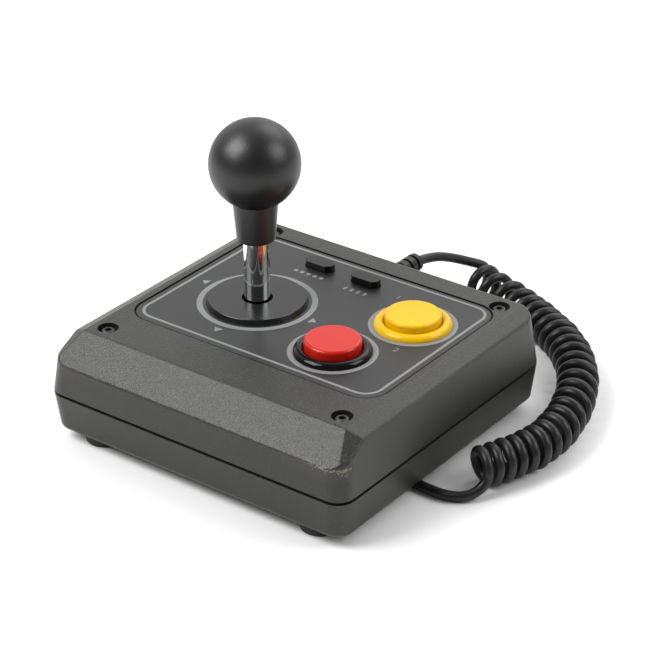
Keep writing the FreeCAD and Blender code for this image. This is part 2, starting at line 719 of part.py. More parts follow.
def lever_shaft():
    """The turned shaft: a stud in the grip, the polished length, a thin tail and a clip groove."""
    _, foot_height, _ = grip_heights()
    stud = SHAFT_STUD_DIAMETER / 2
    tail = SHAFT_TAIL_DIAMETER / 2
    groove = CLIP_GROOVE / 2
    shoulder = PIVOT - SHAFT_SHOULDER_BELOW_PIVOT
    tip = PIVOT - SHAFT_TIP_BELOW_PIVOT
    low = clip_bottom()
    high = low + CLIP_THICKNESS
    seat = foot_height + GRIP_SOCKET
    end = foot_height + STUD_ABOVE_NECK_FOOT
    shaft = turned(
        [
            (0, tip),
            (tail - 1, tip),
            (tail, tip + 1),
            (tail, low),
            (groove, low),
            (groove, high),
            (tail, high),
            (tail, shoulder),
            (SHAFT_RADIUS, shoulder),
            (SHAFT_RADIUS, seat),
            (stud, seat),
            (stud, end),
            (0, end),
        ],
        LEVER_X,
        LEVER_Y,
    )
    middle = Vector(LEVER_X, LEVER_Y, PIVOT)
    reach = Vector(0, SHAFT_DIAMETER, 0)
    return shaft.cut(rod(GIMBAL_PIN, middle - reach, middle + reach))


def ball_grip():
    """The moulded ball with its tapered neck, bored for the shaft and its stud."""
    ball, foot_height, neck_top = grip_heights()
    grip = Part.makeSphere(BALL_DIAMETER / 2, Vector(LEVER_X, LEVER_Y, ball))
    foot_radius = NECK_FOOT_DIAMETER / 2
    neck = turned(
        [
            (0, foot_height),
            (foot_radius, foot_height),
            (NECK_TOP_DIAMETER / 2, neck_top),
            (0, neck_top),
        ],
        LEVER_X,
        LEVER_Y,
    )
    neck = soften(neck, NECK_ROUND, lambda e: max(v.Z for v in e.Vertexes) < foot_height + 0.1)
    core = cylinder(NECK_TOP_DIAMETER - 1, neck_top - 1, ball, LEVER_X, LEVER_Y)
    grip = grip.fuse(neck).fuse(core)
    seat = foot_height + GRIP_SOCKET
    grip = grip.cut(cylinder(SHAFT_DIAMETER, foot_height, seat, LEVER_X, LEVER_Y))
    end = foot_height + STUD_ABOVE_NECK_FOOT
    return grip.cut(cylinder(SHAFT_STUD_DIAMETER, seat, end, LEVER_X, LEVER_Y)).removeSplitter()


def actuator():
    """The moulded sleeve on the shaft's tail: its flange takes the spring, its foot the switches."""
    top = PIVOT - ACTUATOR_FLANGE_BELOW_PIVOT
    bottom = clip_bottom() + CLIP_THICKNESS
    sleeve = cylinder(ACTUATOR_DIAMETER, bottom, top, LEVER_X, LEVER_Y)
    flange = cylinder(ACTUATOR_FLANGE, top - ACTUATOR_FLANGE_THICKNESS, top, LEVER_X, LEVER_Y)
    bore = cylinder(SHAFT_TAIL_DIAMETER + 2 * PIN_CLEARANCE, bottom, top, LEVER_X, LEVER_Y)
    return sleeve.fuse(flange).cut(bore).removeSplitter()


def shaft_clip():
    """The open clip in the shaft's groove."""
    low = clip_bottom()
    high = low + CLIP_THICKNESS
    clip = ring(CLIP_DIAMETER, CLIP_GROOVE + 2 * PIN_CLEARANCE, low, high, LEVER_X, LEVER_Y)
    return clip.cut(block(CLIP_GROOVE * 0.8, CLIP_DIAMETER, low, high, LEVER_X, LEVER_Y - CLIP_DIAMETER / 2))


def centering_spring():
    """The spring between the bracket and the actuator's flange."""
    bottom = PIVOT - ACTUATOR_FLANGE_BELOW_PIVOT
    middle = ACTUATOR_FLANGE - 2 * SPRING_WIRE
    return coil_spring(middle, SPRING_WIRE, bottom, BRACKET_BOTTOM, SPRING_TURNS, LEVER_X, LEVER_Y)


def lever_plate(bottom, top):
    """A plate under the bracket's posts, with holes for their screws."""
    plate = rounded_block(
        BRACKET_WIDTH - 2 * BRACKET_BOLT_INSET, BRACKET_DEPTH, BRACKET_CORNER, bottom, top, LEVER_X, LEVER_Y
    )
    for x, y in post_places():
        plate = plate.cut(cylinder(SMALL_SCREW + 2 * SCREW_CLEARANCE, bottom, top, x, y))
    return plate


def switch_board():
    """The round-holed board that carries the direction switches."""
    plate = lever_plate(GATE_TOP, SWITCH_BOARD_TOP)
    return plate.cut(cylinder(SWITCH_BOARD_HOLE, GATE_TOP, SWITCH_BOARD_TOP, LEVER_X, LEVER_Y))


def lever_switch(turn):
    """A switch on the board whose plunger faces the actuator, turned to its side."""
    middle = SWITCH_BOARD_TOP + SWITCH_HEIGHT / 2
    arm = PIVOT - middle + SWITCH_PLUNGER / 2
    tip = ACTUATOR_DIAMETER / 2 / math.cos(TILT) + arm * math.tan(TILT) / math.cos(TILT) + LEVER_CLEARANCE
    face = tip + SWITCH_PLUNGER_REACH
    top = SWITCH_BOARD_TOP + SWITCH_HEIGHT
    switch = block(SWITCH_THICKNESS, SWITCH_LENGTH, SWITCH_BOARD_TOP, top, face + SWITCH_THICKNESS / 2, 0)
    plunger = rod(SWITCH_PLUNGER, Vector(tip, 0, middle), Vector(face + 1, 0, middle))
    switch = switch.fuse(plunger)
    switch.rotate(Vector(0, 0, 0), Vector(0, 0, 1), turn)
    switch.translate(LEVER_AXIS)
    return switch


def gate_plate():
    """The square gate that the shaft's tip moves in."""
    plate = lever_plate(GATE_BOTTOM, GATE_TOP)
    arm = PIVOT - GATE_BOTTOM
    swing = SHAFT_TAIL_DIAMETER / 2 / math.cos(TILT) + arm * math.tan(TILT) / math.cos(TILT)
    side = 2 * (swing + LEVER_CLEARANCE)
    return plate.cut(block(side, side, GATE_BOTTOM, GATE_TOP, LEVER_X, LEVER_Y))


def small_screw(x, y, seat, length, way):
    """A small pan-head screw whose head sits at seat and whose shank runs up or down."""
    if way > 0:
        head = cylinder(SMALL_SCREW_HEAD, seat - SMALL_SCREW_HEAD_HEIGHT, seat, x, y)
        return head.fuse(cylinder(SMALL_SCREW, seat, seat + length, x, y)).removeSplitter()
    head = cylinder(SMALL_SCREW_HEAD, seat, seat + SMALL_SCREW_HEAD_HEIGHT, x, y)
    return head.fuse(cylinder(SMALL_SCREW, seat - length, seat, x, y)).removeSplitter()


def cap_bore():
    """The bore that a push button's cap slides in."""
    return CAP_DIAMETER + 2 * CAP_CLEARANCE


def lip_shoulder():
    """The height of the shoulder that keeps a cap in its barrel."""
    return PANEL_TOP - CAP_LIP_BELOW_PANEL + CAP_CLEARANCE


def button_bezel(x, y):
    """A push button's body: a round-topped bezel and a barrel with a shoulder and a floor."""
    radius = BEZEL_DIAMETER / 2
    inner = cap_bore() / 2
    crest = inner + (radius - inner) * 0.45
    outer_mid = Vector(x + radius - 0.75, 0, PANEL_TOP + BEZEL_HEIGHT * 0.72)
    start = Vector(x + radius, 0, PANEL_TOP + 0.6)
    top = Vector(x + crest, 0, PANEL_TOP + BEZEL_HEIGHT)
    lip = Vector(x + inner, 0, PANEL_TOP + BEZEL_LIP_HEIGHT)
    lip_mid = Vector(x + inner + 0.7, 0, PANEL_TOP + BEZEL_HEIGHT - 0.15)
    base_out = Vector(x + radius, 0, PANEL_TOP)
    base_in = Vector(x + inner, 0, PANEL_TOP)
    edges = [
        Part.makeLine(base_out, start),
        Part.Arc(start, outer_mid, top).toShape(),
        Part.Arc(top, lip_mid, lip).toShape(),
        Part.makeLine(lip, base_in),
        Part.makeLine(base_in, base_out),
    ]
    flange = Part.Face(Part.Wire(edges)).revolve(Vector(x, 0, 0), Vector(0, 0, 1), 360)
    flange.translate(Vector(0, y, 0))
    end = PANEL_TOP - BARREL_DEPTH
    barrel = cylinder(BARREL_DIAMETER, end, PANEL_TOP, x, y)
    barrel = barrel.cut(cylinder(cap_bore(), lip_shoulder(), PANEL_TOP, x, y))
    lower_bore = CAP_DIAMETER + 2 * CAP_LIP + 2 * CAP_CLEARANCE
    barrel = barrel.cut(cylinder(lower_bore, end + BARREL_FLOOR, lip_shoulder(), x, y))
    barrel = barrel.cut(cylinder(STEM_DIAMETER + 2 * STEM_CLEARANCE, end, end + BARREL_FLOOR, x, y))
    return flange.fuse(barrel).removeSplitter()


def button_nut(x, y):
    """The notched ring nut that holds a push button under the top."""
    hole = BARREL_DIAMETER + 2 * SCREW_CLEARANCE
    nut = ring(NUT_DIAMETER, hole, CEILING - NUT_HEIGHT, CEILING, x, y)
    for px, py in circle_places(NUT_DIAMETER / 2, NUT_NOTCHES, x, y):
        nut = nut.cut(cylinder(NUT_NOTCH, CEILING - NUT_HEIGHT, CEILING, px, py))
    return nut


def button_cap(x, y, height):
    """A push button's cap: a hollow cup with a keeper lip and a stem."""
    top = PANEL_TOP + height
    lip_top = PANEL_TOP - CAP_LIP_BELOW_PANEL
    lip_bottom = lip_top - CAP_LIP_HEIGHT
    under = top - CAP_WALL
    cap = cylinder(CAP_DIAMETER, lip_bottom, top, x, y)
    cap = soften(cap, CAP_EDGE, lambda e: min(v.Z for v in e.Vertexes) > top - 0.1)
    cap = cap.fuse(cylinder(CAP_DIAMETER + 2 * CAP_LIP, lip_bottom, lip_top, x, y))
    cap = cap.cut(cylinder(CAP_DIAMETER - 2 * CAP_WALL, lip_bottom, under, x, y))
    stem_end = PANEL_TOP - BARREL_DEPTH - STEM_ENTRY
    return cap.fuse(cylinder(STEM_DIAMETER, stem_end, under + 0.5, x, y)).removeSplitter()


def button_spring(x, y, height):
    """The spring between a barrel's floor and its cap."""
    bottom = PANEL_TOP - BARREL_DEPTH + BARREL_FLOOR
    top = PANEL_TOP + height - CAP_WALL
    return coil_spring(
        BUTTON_SPRING_DIAMETER, BUTTON_SPRING_WIRE, bottom, top, BUTTON_SPRING_TURNS, x, y
    )


def contact_block(x, y):
    """The closed switch under a barrel, with a well for the stem."""
    top = PANEL_TOP - BARREL_DEPTH
    body = block(CONTACT_WIDTH, CONTACT_DEPTH, top - CONTACT_HEIGHT, top, x, y)
    well = STEM_ENTRY + BUTTON_TRAVEL + 1
    return body.cut(cylinder(STEM_DIAMETER + 2 * STEM_CLEARANCE, top - well, top, x, y))


def contact_terminals(x, y):
    """The two flat terminals under a contact block."""
    top = PANEL_TOP - BARREL_DEPTH - CONTACT_HEIGHT
    return Part.makeCompound(
        [
            block(TERMINAL_WIDTH, TERMINAL_THICKNESS, top - TERMINAL_LENGTH, top, x + i * TERMINAL_SPACING / 2, y)
            for i in (-1, 1)
        ]
    )


def panel_key(x):
    """A key with the flange that keeps it under the top."""
    flange_top = CEILING - KEY_CLEARANCE
    flange_bottom = flange_top - KEY_FLANGE_THICKNESS
    top = PANEL_TOP + KEY_HEIGHT
    key = key_form(0, flange_bottom, top, x)
    key = soften(key, KEY_EDGE, lambda e: min(v.Z for v in e.Vertexes) > top - 0.1)
    flange = key_form(KEY_CLEARANCE + KEY_FLANGE, flange_bottom, flange_top, x)
    return key.fuse(flange).removeSplitter()


def key_dome(x):
    """The rubber dome that lifts a key."""
    top = KEY_BOARD_TOP + DOME_HEIGHT
    foot_radius = DOME_FOOT / 2
    return turned(
        [
            (0, KEY_BOARD_TOP),
            (foot_radius, KEY_BOARD_TOP),
            (foot_radius, KEY_BOARD_TOP + 0.5),
            (DOME_TOP / 2, top),
            (0, top),
        ],
        x,
        KEY_Y,
    )


def key_board():
    """The strip of board under the keys."""
    middle = (SELECT_X + START_X) / 2
    bottom = KEY_BOARD_TOP - BOARD_THICKNESS
    board = block(KEY_BOARD_LENGTH, KEY_BOARD_WIDTH, bottom, KEY_BOARD_TOP, middle, KEY_Y)
    for x, y in key_post_places():
        board = board.cut(cylinder(SMALL_SCREW + 2 * SCREW_CLEARANCE, bottom, KEY_BOARD_TOP, x, y))
    return board


def circuit_board():
    """The main board."""
    bottom = BOARD_TOP - BOARD_THICKNESS
    board = block(BOARD_LENGTH, BOARD_WIDTH, bottom, BOARD_TOP, BOARD_X, BOARD_Y)
    for x, y in board_post_places():
        board = board.cut(cylinder(SMALL_SCREW + 2 * SCREW_CLEARANCE, bottom, BOARD_TOP, x, y))
    return board


def strain_relief():
    """The ribbed sleeve round the cord, held in the back wall between a collar and a flange."""
    wall_low = HALF_DEPTH - UPPER_DRAFT * (RELIEF_HEIGHT - RELIEF_COLLAR / 2 - SEAM_HEIGHT)
    wall_high = HALF_DEPTH - UPPER_DRAFT * (RELIEF_HEIGHT + RELIEF_FLANGE / 2 - SEAM_HEIGHT)
    outside = wall_low + FIT_CLEARANCE
    inside = wall_high - WALL - FIT_CLEARANCE
    axis = Vector(0, 1, 0)

    def length(diameter, start, end):
        return Part.makeCylinder(diameter / 2, end - start, Vector(RELIEF_X, start, RELIEF_HEIGHT), axis)

    relief = Part.makeCone(
        RELIEF_DIAMETER / 2,
        RELIEF_TIP_DIAMETER / 2,
        RELIEF_END - inside,
        Vector(RELIEF_X, inside, RELIEF_HEIGHT),
        axis,
    )
    ribbed_from = outside + RELIEF_COLLAR_THICKNESS + 2
    pitch = (RELIEF_END - ribbed_from) / RELIEF_GROOVES
    waist = RELIEF_TIP_DIAMETER - 2 * RELIEF_GROOVE_DEPTH
    for n in range(RELIEF_GROOVES):
        start = ribbed_from + (n + 0.2) * pitch
        groove = length(2 * RELIEF_DIAMETER, start, start + RELIEF_GROOVE_WIDTH)
        relief = relief.cut(groove.cut(length(waist, start, start + RELIEF_GROOVE_WIDTH)))
    relief = relief.fuse(length(RELIEF_COLLAR, outside, outside + RELIEF_COLLAR_THICKNESS))
    relief = relief.fuse(length(RELIEF_FLANGE, inside - RELIEF_FLANGE_THICKNESS, inside))
    return relief.removeSplitter()


def tube_along(name, places, diameter):
    """A tube of straight runs that are joined by tangent arcs. Prints the arcs' radii."""
    points = [Vector(*place) for place in places]
    edges = []
    radii = []
    here = points[0]
    for before, corner, after in zip(points, points[1:], points[2:]):
        back = unit(before - corner)
        ahead = unit(after - corner)
        setback = 0.45 * min((before - corner).Length, (after - corner).Length)
        half_turn = (math.pi - back.getAngle(ahead)) / 2
        radius = setback / math.tan(half_turn)
        radii.append(radius)
        start = corner + back * setback
        end = corner + ahead * setback
        inward = unit(back + ahead)
        depth = radius / math.cos(half_turn) - radius
        edges.append(Part.makeLine(here, start))
        edges.append(Part.Arc(start, corner + inward * depth, end).toShape())
        here = end
    edges.append(Part.makeLine(here, points[-1]))
    path = Part.Wire(edges)
    circle = Part.makeCircle(diameter / 2, points[0], points[1] - points[0])
    tube = path.makePipeShell([Part.Wire(circle)], True, False)
    share = tube.Volume / (math.pi * diameter**2 / 4 * path.Length)
    print(name, "radii", [round(r, 1) for r in radii], "length", round(path.Length, 1), "volume", round(share, 4))
    return tube


def along_tail(shape):
    """Moves a shape that was made along +X from the origin to the cord's end, along its last run."""
    end = Vector(*TAIL_POINTS[-1])
    way = end - Vector(*TAIL_POINTS[-2])
    way.z = 0
    shape.Placement = FreeCAD.Placement(end, FreeCAD.Rotation(Vector(1, 0, 0), way))
    return shape


def plug_boot():
    """The sleeve where the cord enters the plug."""
    boot = Part.makeCone(
        CORD_DIAMETER / 2 + 1, PLUG_BOOT_DIAMETER / 2, PLUG_BOOT_LENGTH, Vector(0, 0, 0), Vector(1, 0, 0)
    )
    return along_tail(boot)


def plug_body():
    """The moulded plug, which lies flat on the table."""
    start = PLUG_BOOT_LENGTH
    body = Part.makeBox(
        PLUG_LENGTH, PLUG_WIDTH, PLUG_THICKNESS, Vector(start, -PLUG_WIDTH / 2, -PLUG_THICKNESS / 2)
    )
    body = soften(body, PLUG_ROUND, lambda e: abs(e.Vertexes[0].X - e.Vertexes[-1].X) > 1)
    return along_tail(body)


def plug_shell():
    """The plug's metal shell, a hollow D."""
    start = PLUG_BOOT_LENGTH + PLUG_LENGTH

    def d_form(inset, begin):
        low = PLUG_SHELL_WIDTH / 2 - inset
        high = low - PLUG_SHELL_SLANT
        half = PLUG_SHELL_HEIGHT / 2 - inset
        corners = [(low, -half), (high, half), (-high, half), (-low, -half)]
        points = [Vector(begin, y, z) for y, z in corners]
        face = Part.Face(Part.makePolygon(points + points[:1]))
        return face.extrude(Vector(start + PLUG_SHELL_LENGTH - begin, 0, 0))

    return along_tail(d_form(0, start).cut(d_form(PLUG_SHELL_WALL, start + 1)))


def case_nodes():
    """The case, its panel, feet and screws."""
    nodes = {
        "top_shell": top_shell(),
        "bottom_shell": bottom_shell(),
        "face_panel": face_panel(),
        "case_screws": Part.makeCompound([case_screw(x, y) for x, y in SCREW_PLACES]),
    }
    for name, x, y in foot_places():
        nodes[name] = foot(x, y)
    return nodes


def lever_nodes():
    """The lever, what it turns on and what it works."""
    bolts = bracket_bolt_places()
    posts = post_places()
    screw_length = GATE_THICKNESS + SWITCH_BOARD_THICKNESS + SMALL_SCREW_BITE
    nodes = {
        "lever_collar": lever_collar(),
        "lever_bracket": lever_bracket(),
        "bracket_bolts": Part.makeCompound([bolt_form(x, y, 0) for x, y in bolts]),
        "bracket_nuts": Part.makeCompound([bracket_nut(x, y) for x, y in bolts]),
        "gimbal_ring": gimbal_ring(),
        "pivot_pin": pivot_pin(),
        "lever_shaft": lever_shaft(),
        "ball_grip": ball_grip(),
        "actuator": actuator(),
        "shaft_clip": shaft_clip(),
        "centering_spring": centering_spring(),
        "switch_board": switch_board(),
        "gate_plate": gate_plate(),
        "gate_screws": Part.makeCompound(
            [small_screw(x, y, GATE_BOTTOM, screw_length, 1) for x, y in posts]
        ),
    }
    for turn, side in enumerate(("right", "back", "left", "front")):
        nodes[f"lever_switch_{side}"] = lever_switch(90 * turn)
    return nodes


def button_nodes():
    """The push buttons and the keys, with what is under them."""
    nodes = {}
    for name, x, y, height in button_places():
        nodes[f"{name}_bezel"] = button_bezel(x, y)
        nodes[f"{name}_nut"] = button_nut(x, y)
        nodes[f"{name}_cap"] = button_cap(x, y, height)
        nodes[f"{name}_spring"] = button_spring(x, y, height)
        nodes[f"{name}_contact_block"] = contact_block(x, y)
        nodes[f"{name}_terminals"] = contact_terminals(x, y)
    for name, x in key_places():
        nodes[f"{name}_button"] = panel_key(x)
        nodes[f"{name}_dome"] = key_dome(x)
    nodes["key_board"] = key_board()
    under = KEY_BOARD_TOP - BOARD_THICKNESS
    screw_length = BOARD_THICKNESS + CEILING - KEY_BOARD_TOP - SMALL_SCREW_TIP_GAP
    nodes["key_board_screws"] = Part.makeCompound(
        [small_screw(x, y, under, screw_length, 1) for x, y in key_post_places()]
    )
    return nodes


def board_nodes():
    """The main board with its chip, header and screws."""
    length = BOARD_THICKNESS + BOARD_POST_HEIGHT - SMALL_SCREW_TIP_GAP
    return {
        "circuit_board": circuit_board(),
        "board_screws": Part.makeCompound(
            [small_screw(x, y, BOARD_TOP, length, -1) for x, y in board_post_places()]
        ),
        "controller_chip": block(
            CHIP_LENGTH, CHIP_WIDTH, BOARD_TOP, BOARD_TOP + CHIP_HEIGHT, BOARD_X - BOARD_LENGTH / 5, BOARD_Y
        ),
        "cord_header": block(
            HEADER_LENGTH, HEADER_WIDTH, BOARD_TOP, BOARD_TOP + HEADER_HEIGHT, BOARD_X + BOARD_LENGTH / 5, BOARD_Y
        ),
    }


def cord_nodes():
    """The cord: its sleeve, a lead, the curly length as one tube, the tail and the plug."""
    return {
        "strain_relief": strain_relief(),
        "cord_lead": tube_along("cord_lead", LEAD_POINTS, CORD_DIAMETER),
        "cord_coil": tube_along("cord_coil", COIL_POINTS, COIL_DIAMETER),
        "cord_tail": tube_along("cord_tail", TAIL_POINTS, CORD_DIAMETER),
        "plug_boot": plug_boot(),
        "plug_body": plug_body(),
        "plug_shell": plug_shell(),
    }


def main():
    """Builds every node and writes its file."""
    os.makedirs("parts", exist_ok=True)
    nodes = {**case_nodes(), **lever_nodes(), **button_nodes(), **board_nodes(), **cord_nodes()}
    for name, shape in nodes.items():
        shape.exportStep(f"parts/{name}.step")
    print(len(nodes), "nodes")


if __name__ == "__main__":
    main()
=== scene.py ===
"""Arcade stick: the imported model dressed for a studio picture.

Metres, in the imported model's own frame: the origin is on the table under the middle of the case, +X is
the player's right, +Y points away from the player and +Z is up.
"""

from __future__ import annotations

import logging
import math
from dataclasses import dataclass, field
from enum import Enum
from typing import Any, Iterable, Sequence, Union

import bpy
from mathutils import Euler, Matrix, Vector


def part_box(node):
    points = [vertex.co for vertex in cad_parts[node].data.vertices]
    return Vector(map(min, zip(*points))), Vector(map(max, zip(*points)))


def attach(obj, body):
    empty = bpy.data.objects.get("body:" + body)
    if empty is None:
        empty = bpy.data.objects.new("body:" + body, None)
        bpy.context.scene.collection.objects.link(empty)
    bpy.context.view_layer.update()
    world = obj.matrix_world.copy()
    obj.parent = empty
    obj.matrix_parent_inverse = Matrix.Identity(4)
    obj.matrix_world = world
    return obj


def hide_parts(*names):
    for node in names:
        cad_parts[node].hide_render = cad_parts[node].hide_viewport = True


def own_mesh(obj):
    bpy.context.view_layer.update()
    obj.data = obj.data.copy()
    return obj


LOG = logging.getLogger("arcade_stick")
MM = 0.001
HOUSING = "housing"

Piece = bpy.types.Object
Names = tuple[str, ...]
Triple = tuple[float, float, float]
Colour = Triple
Number = Union["Field", float]
Axes = tuple["Field", "Field", "Field"]
Route = tuple[Triple, ...]


class Pattern(Enum):
    """Named noise patterns, as the detail and roughness of a noise texture."""

    CLOUD = (2.0, 0.5)
    GRAIN = (3.0, 0.6)
    SPECK = (1.0, 0.4)


class Field:
    """A socket in a material, with operators that add Math nodes to it."""

    def __init__(self, bench: Bench, socket: bpy.types.NodeSocket) -> None:
        """Wraps a socket of a bench's material."""
        self.bench = bench
        self.socket = socket

    def _math(self, operation: str, *values: Number) -> Field:
        """Adds a Math node.

        Args:
            operation: The node's operation.
            values: Its inputs, in order.

        Returns:
            The node's result.
        """
        node = self.bench.node("ShaderNodeMath", {"operation": operation}, dict(enumerate(values)))
        return Field(self.bench, node.outputs[0])

    def __add__(self, other: Number) -> Field:
        """self + other."""
        return self._math("ADD", self, other)

    def __radd__(self, other: Number) -> Field:
        """other + self."""
        return self._math("ADD", other, self)

    def __sub__(self, other: Number) -> Field:
        """self - other."""
        return self._math("SUBTRACT", self, other)

    def __rsub__(self, other: Number) -> Field:
        """other - self."""
        return self._math("SUBTRACT", other, self)

    def __mul__(self, other: Number) -> Field:
        """self * other."""
        return self._math("MULTIPLY", self, other)

    def __rmul__(self, other: Number) -> Field:
        """other * self."""
        return self._math("MULTIPLY", other, self)

    def __truediv__(self, other: Number) -> Field:
        """self / other."""
        return self._math("DIVIDE", self, other)

    def __pow__(self, other: Number) -> Field:
        """self to a power."""
        return self._math("POWER", self, other)

    def __abs__(self) -> Field:
        """The size of self without its sign."""
        return self._math("ABSOLUTE", self)

    def fraction(self) -> Field:
        """What is left after the whole number."""
        return self._math("FRACT", self)

    def larger(self, other: Number) -> Field:
        """The larger of self and other."""
        return self._math("MAXIMUM", self, other)

    def rise(self, low: float, high: float) -> Field:
        """Goes smoothly from 0 to 1.

        Args:
            low: Where the result is 0.
            high: Where the result is 1. It may be below low, and then the result falls.

        Returns:
            The smooth step.
        """
        flip = high < low
        start, end = (high, low) if flip else (low, high)
        span = {"From Min": start, "From Max": end, "To Min": float(flip), "To Max": float(not flip)}
        settings = {"interpolation_type": "SMOOTHSTEP"}
        node = self.bench.node("ShaderNodeMapRange", settings, {"Value": self, **span})
        return Field(self.bench, node.outputs[0])


class Bench:
    """Builds one material: its node tree, the shader and the patterns that feed it."""

    def __init__(self, name: str) -> None:
        """Starts a material with an empty tree and one surface shader.

        Args:
            name: The material's name.
        """
        self.material = bpy.data.materials.new(name)
        self.material.use_nodes = True
        self.tree = self.material.node_tree
        self.tree.nodes.clear()
        self.shader = self.node("ShaderNodeBsdfPrincipled")
        self.output = self.node("ShaderNodeOutputMaterial")
        self.tree.links.new(self.shader.outputs[0], self.output.inputs["Surface"])
        self._place: Field | None = None

    def node(
        self, kind: str, settings: dict[str, Any] | None = None, inputs: dict[Any, Any] | None = None
    ) -> bpy.types.Node:
        """Adds any node.

        Args:
            kind: The node's type.
            settings: Its settings, which are set first.
            inputs: Values or fields for its sockets, by name or number.

        Returns:
            The node.
        """
        made = self.tree.nodes.new(kind)
        for key, setting in (settings or {}).items():
            setattr(made, key, setting)
        self.feed(made, inputs or {})
        return made

    def feed(self, node: bpy.types.Node, inputs: dict[Any, Any]) -> None:
        """Sets or links sockets of a node.

        Args:
            node: The node.
            inputs: Values or fields, by socket name or number.
        """
        for key, value in inputs.items():
            if isinstance(value, Field):
                self.tree.links.new(value.socket, node.inputs[key])
            elif node.inputs[key].type == "RGBA":
                node.inputs[key].default_value = (*value, 1.0)
            else:
                node.inputs[key].default_value = value

    def surface(self, inputs: dict[str, Any]) -> None:
        """Feeds the surface shader by socket name."""
        self.feed(self.shader, inputs)

    def lay_painted_shade(self, share: Field) -> None:
        """Lays a dull black painted shade over the surface shader.

        Args:
            share: How much of the painted shade shows.
        """
        # Painted shade: a dull black shader mixed over the surface where the share says.
        dull = {"Base Color": (0.003, 0.003, 0.003), "Roughness": 0.9, "Specular IOR Level": 0.0}
        painted_shade = self.node("ShaderNodeBsdfPrincipled", None, dull)
        both = self.node("ShaderNodeMixShader", None, {0: share})
        self.tree.links.new(self.shader.outputs[0], both.inputs[1])
        self.tree.links.new(painted_shade.outputs[0], both.inputs[2])
        self.tree.links.new(both.outputs[0], self.output.inputs["Surface"])

    def place(self) -> Field:
        """The position on the piece, in metres."""
        if self._place is None:
            self._place = Field(self, self.node("ShaderNodeTexCoord").outputs["Object"])
        return self._place

    def axes(self) -> Axes:
        """The position on the piece as its x, y and z."""
        split = self.node("ShaderNodeSeparateXYZ", None, {0: self.place()})
        x, y, z = (Field(self, socket) for socket in split.outputs)
        return x, y, z

    def upward(self) -> Field:
        """How far the surface faces up, from -1 for down to 1 for up."""
        facing = Field(self, self.node("ShaderNodeTexCoord").outputs["Normal"])
        split = self.node("ShaderNodeSeparateXYZ", None, {0: facing})
        return Field(self, split.outputs["Z"])

    def stretched(self, scale: Sequence[float]) -> Field:
        """The position, scaled along each axis so that a pattern becomes streaks."""
        inputs = {0: self.place(), 1: tuple(scale)}
        node = self.node("ShaderNodeVectorMath", {"operation": "MULTIPLY"}, inputs)
        return Field(self, node.outputs[0])

    def noise(self, size: float, pattern: Pattern = Pattern.CLOUD, where: Field | None = None) -> Field:
        """A noise between 0 and 1.

        Args:
            size: The width of its blobs, in metres.
            pattern: How rough it is.
            where: The position it reads, if not the plain one.

        Returns:
            The noise.
        """
        detail, roughness = pattern.value
        node = self.node(
            "ShaderNodeTexNoise",
            None,
            {"Vector": where or self.place(), "Scale": 1 / size, "Detail": detail, "Roughness": roughness},
        )
        return Field(self, node.outputs["Fac"])

    def pits(self, size: float) -> Field:
        """The distance to the nearest of many scattered points, for a pebbled skin."""
        node = self.node("ShaderNodeTexVoronoi", None, {"Vector": self.place(), "Scale": 1 / size})
        return Field(self, node.outputs["Distance"])

    def mix(self, share: Number, first: Any, second: Any) -> Field:
        """Mixes two colours.

        Args:
            share: How much of the second colour shows.
            first: A colour or a field.
            second: A colour or a field.

        Returns:
            The mixed colour.
        """
        node = self.node("ShaderNodeMix", {"data_type": "RGBA"}, {0: share, 6: first, 7: second})
        return Field(self, node.outputs[2])

    def bump(self, height: Field, depth: float, strength: float = 1.0, under: Field | None = None) -> Field:
        """Turns a height into a normal.

        Args:
            height: The height, 0 to 1.
            depth: What a height of 1 stands for, in metres.
            strength: How much of it shows.
            under: A normal that it is added to.

        Returns:
            The normal.
        """
        inputs = {"Height": height, "Distance": depth, "Strength": strength}
        if under is not None:
            inputs["Normal"] = under
        return Field(self, self.node("ShaderNodeBump", None, inputs).outputs[0])


def shade(colour: Colour, factor: float) -> Colour:
    """A colour made lighter or darker by a factor."""
    return tuple(min(1.0, part * factor) for part in colour)


@dataclass(frozen=True)
class Finish:
    """A surface finish: its own name, a material slot name and its colour."""

    name: str
    slot: str
    colour: Colour

    def material(self) -> bpy.types.Material:
        """The finish as a material, made once."""
        known = bpy.data.materials.get(self.name)
        if known is None:
            bench = Bench(self.name)
            self.paint(bench)
            known = bench.material
        return known

    def paint(self, bench: Bench) -> None:
        """Wires the finish on a bench."""
        raise NotImplementedError


@dataclass(frozen=True)
class SparkedPlastic(Finish):
    """Moulded plastic with the fine pebbled skin of a spark-eroded mould."""

    roughness: float
    grain: float
    depth: float
    strength: float
    # How strongly the pale flecks show: partly dust, partly painted glints of the grain's sparkle.
    dust: float
    specular: float = 0.5

    def skin(self, bench: Bench, shown: Number = 1.0) -> tuple[Field, Field, Field]:
        """The plain skin.

        Args:
            bench: The material that it is wired on.
            shown: How much of its grain shows.

        Returns:
            Its colour, roughness and normal.
        """
        cloud = bench.noise(24 * MM)
        fine = bench.noise(self.grain, Pattern.GRAIN)
        pebble = bench.pits(self.grain * 1.7)
        colour = bench.mix(cloud, shade(self.colour, 0.85), shade(self.colour, 1.15))
        # Pale flecks, partly dust and partly painted glints: the grain's sparkle laid into the colour.
        flecks = bench.noise(self.grain * 1.4, Pattern.SPECK).rise(0.62, 0.74)
        colour = bench.mix(flecks * self.dust * shown, colour, shade(self.colour, 6))
        roughness = self.roughness + 0.10 * (fine - 0.5) + 0.06 * (cloud - 0.5)
        normal = bench.bump((0.6 * fine + 0.4 * pebble) * shown, self.depth, self.strength)
        bench.surface({"Specular IOR Level": self.specular})
        return colour, roughness, normal

    def paint(self, bench: Bench) -> None:
        """Wires the skin as it is."""
        colour, roughness, normal = self.skin(bench)
        bench.surface({"Base Color": colour, "Roughness": roughness, "Normal": normal})


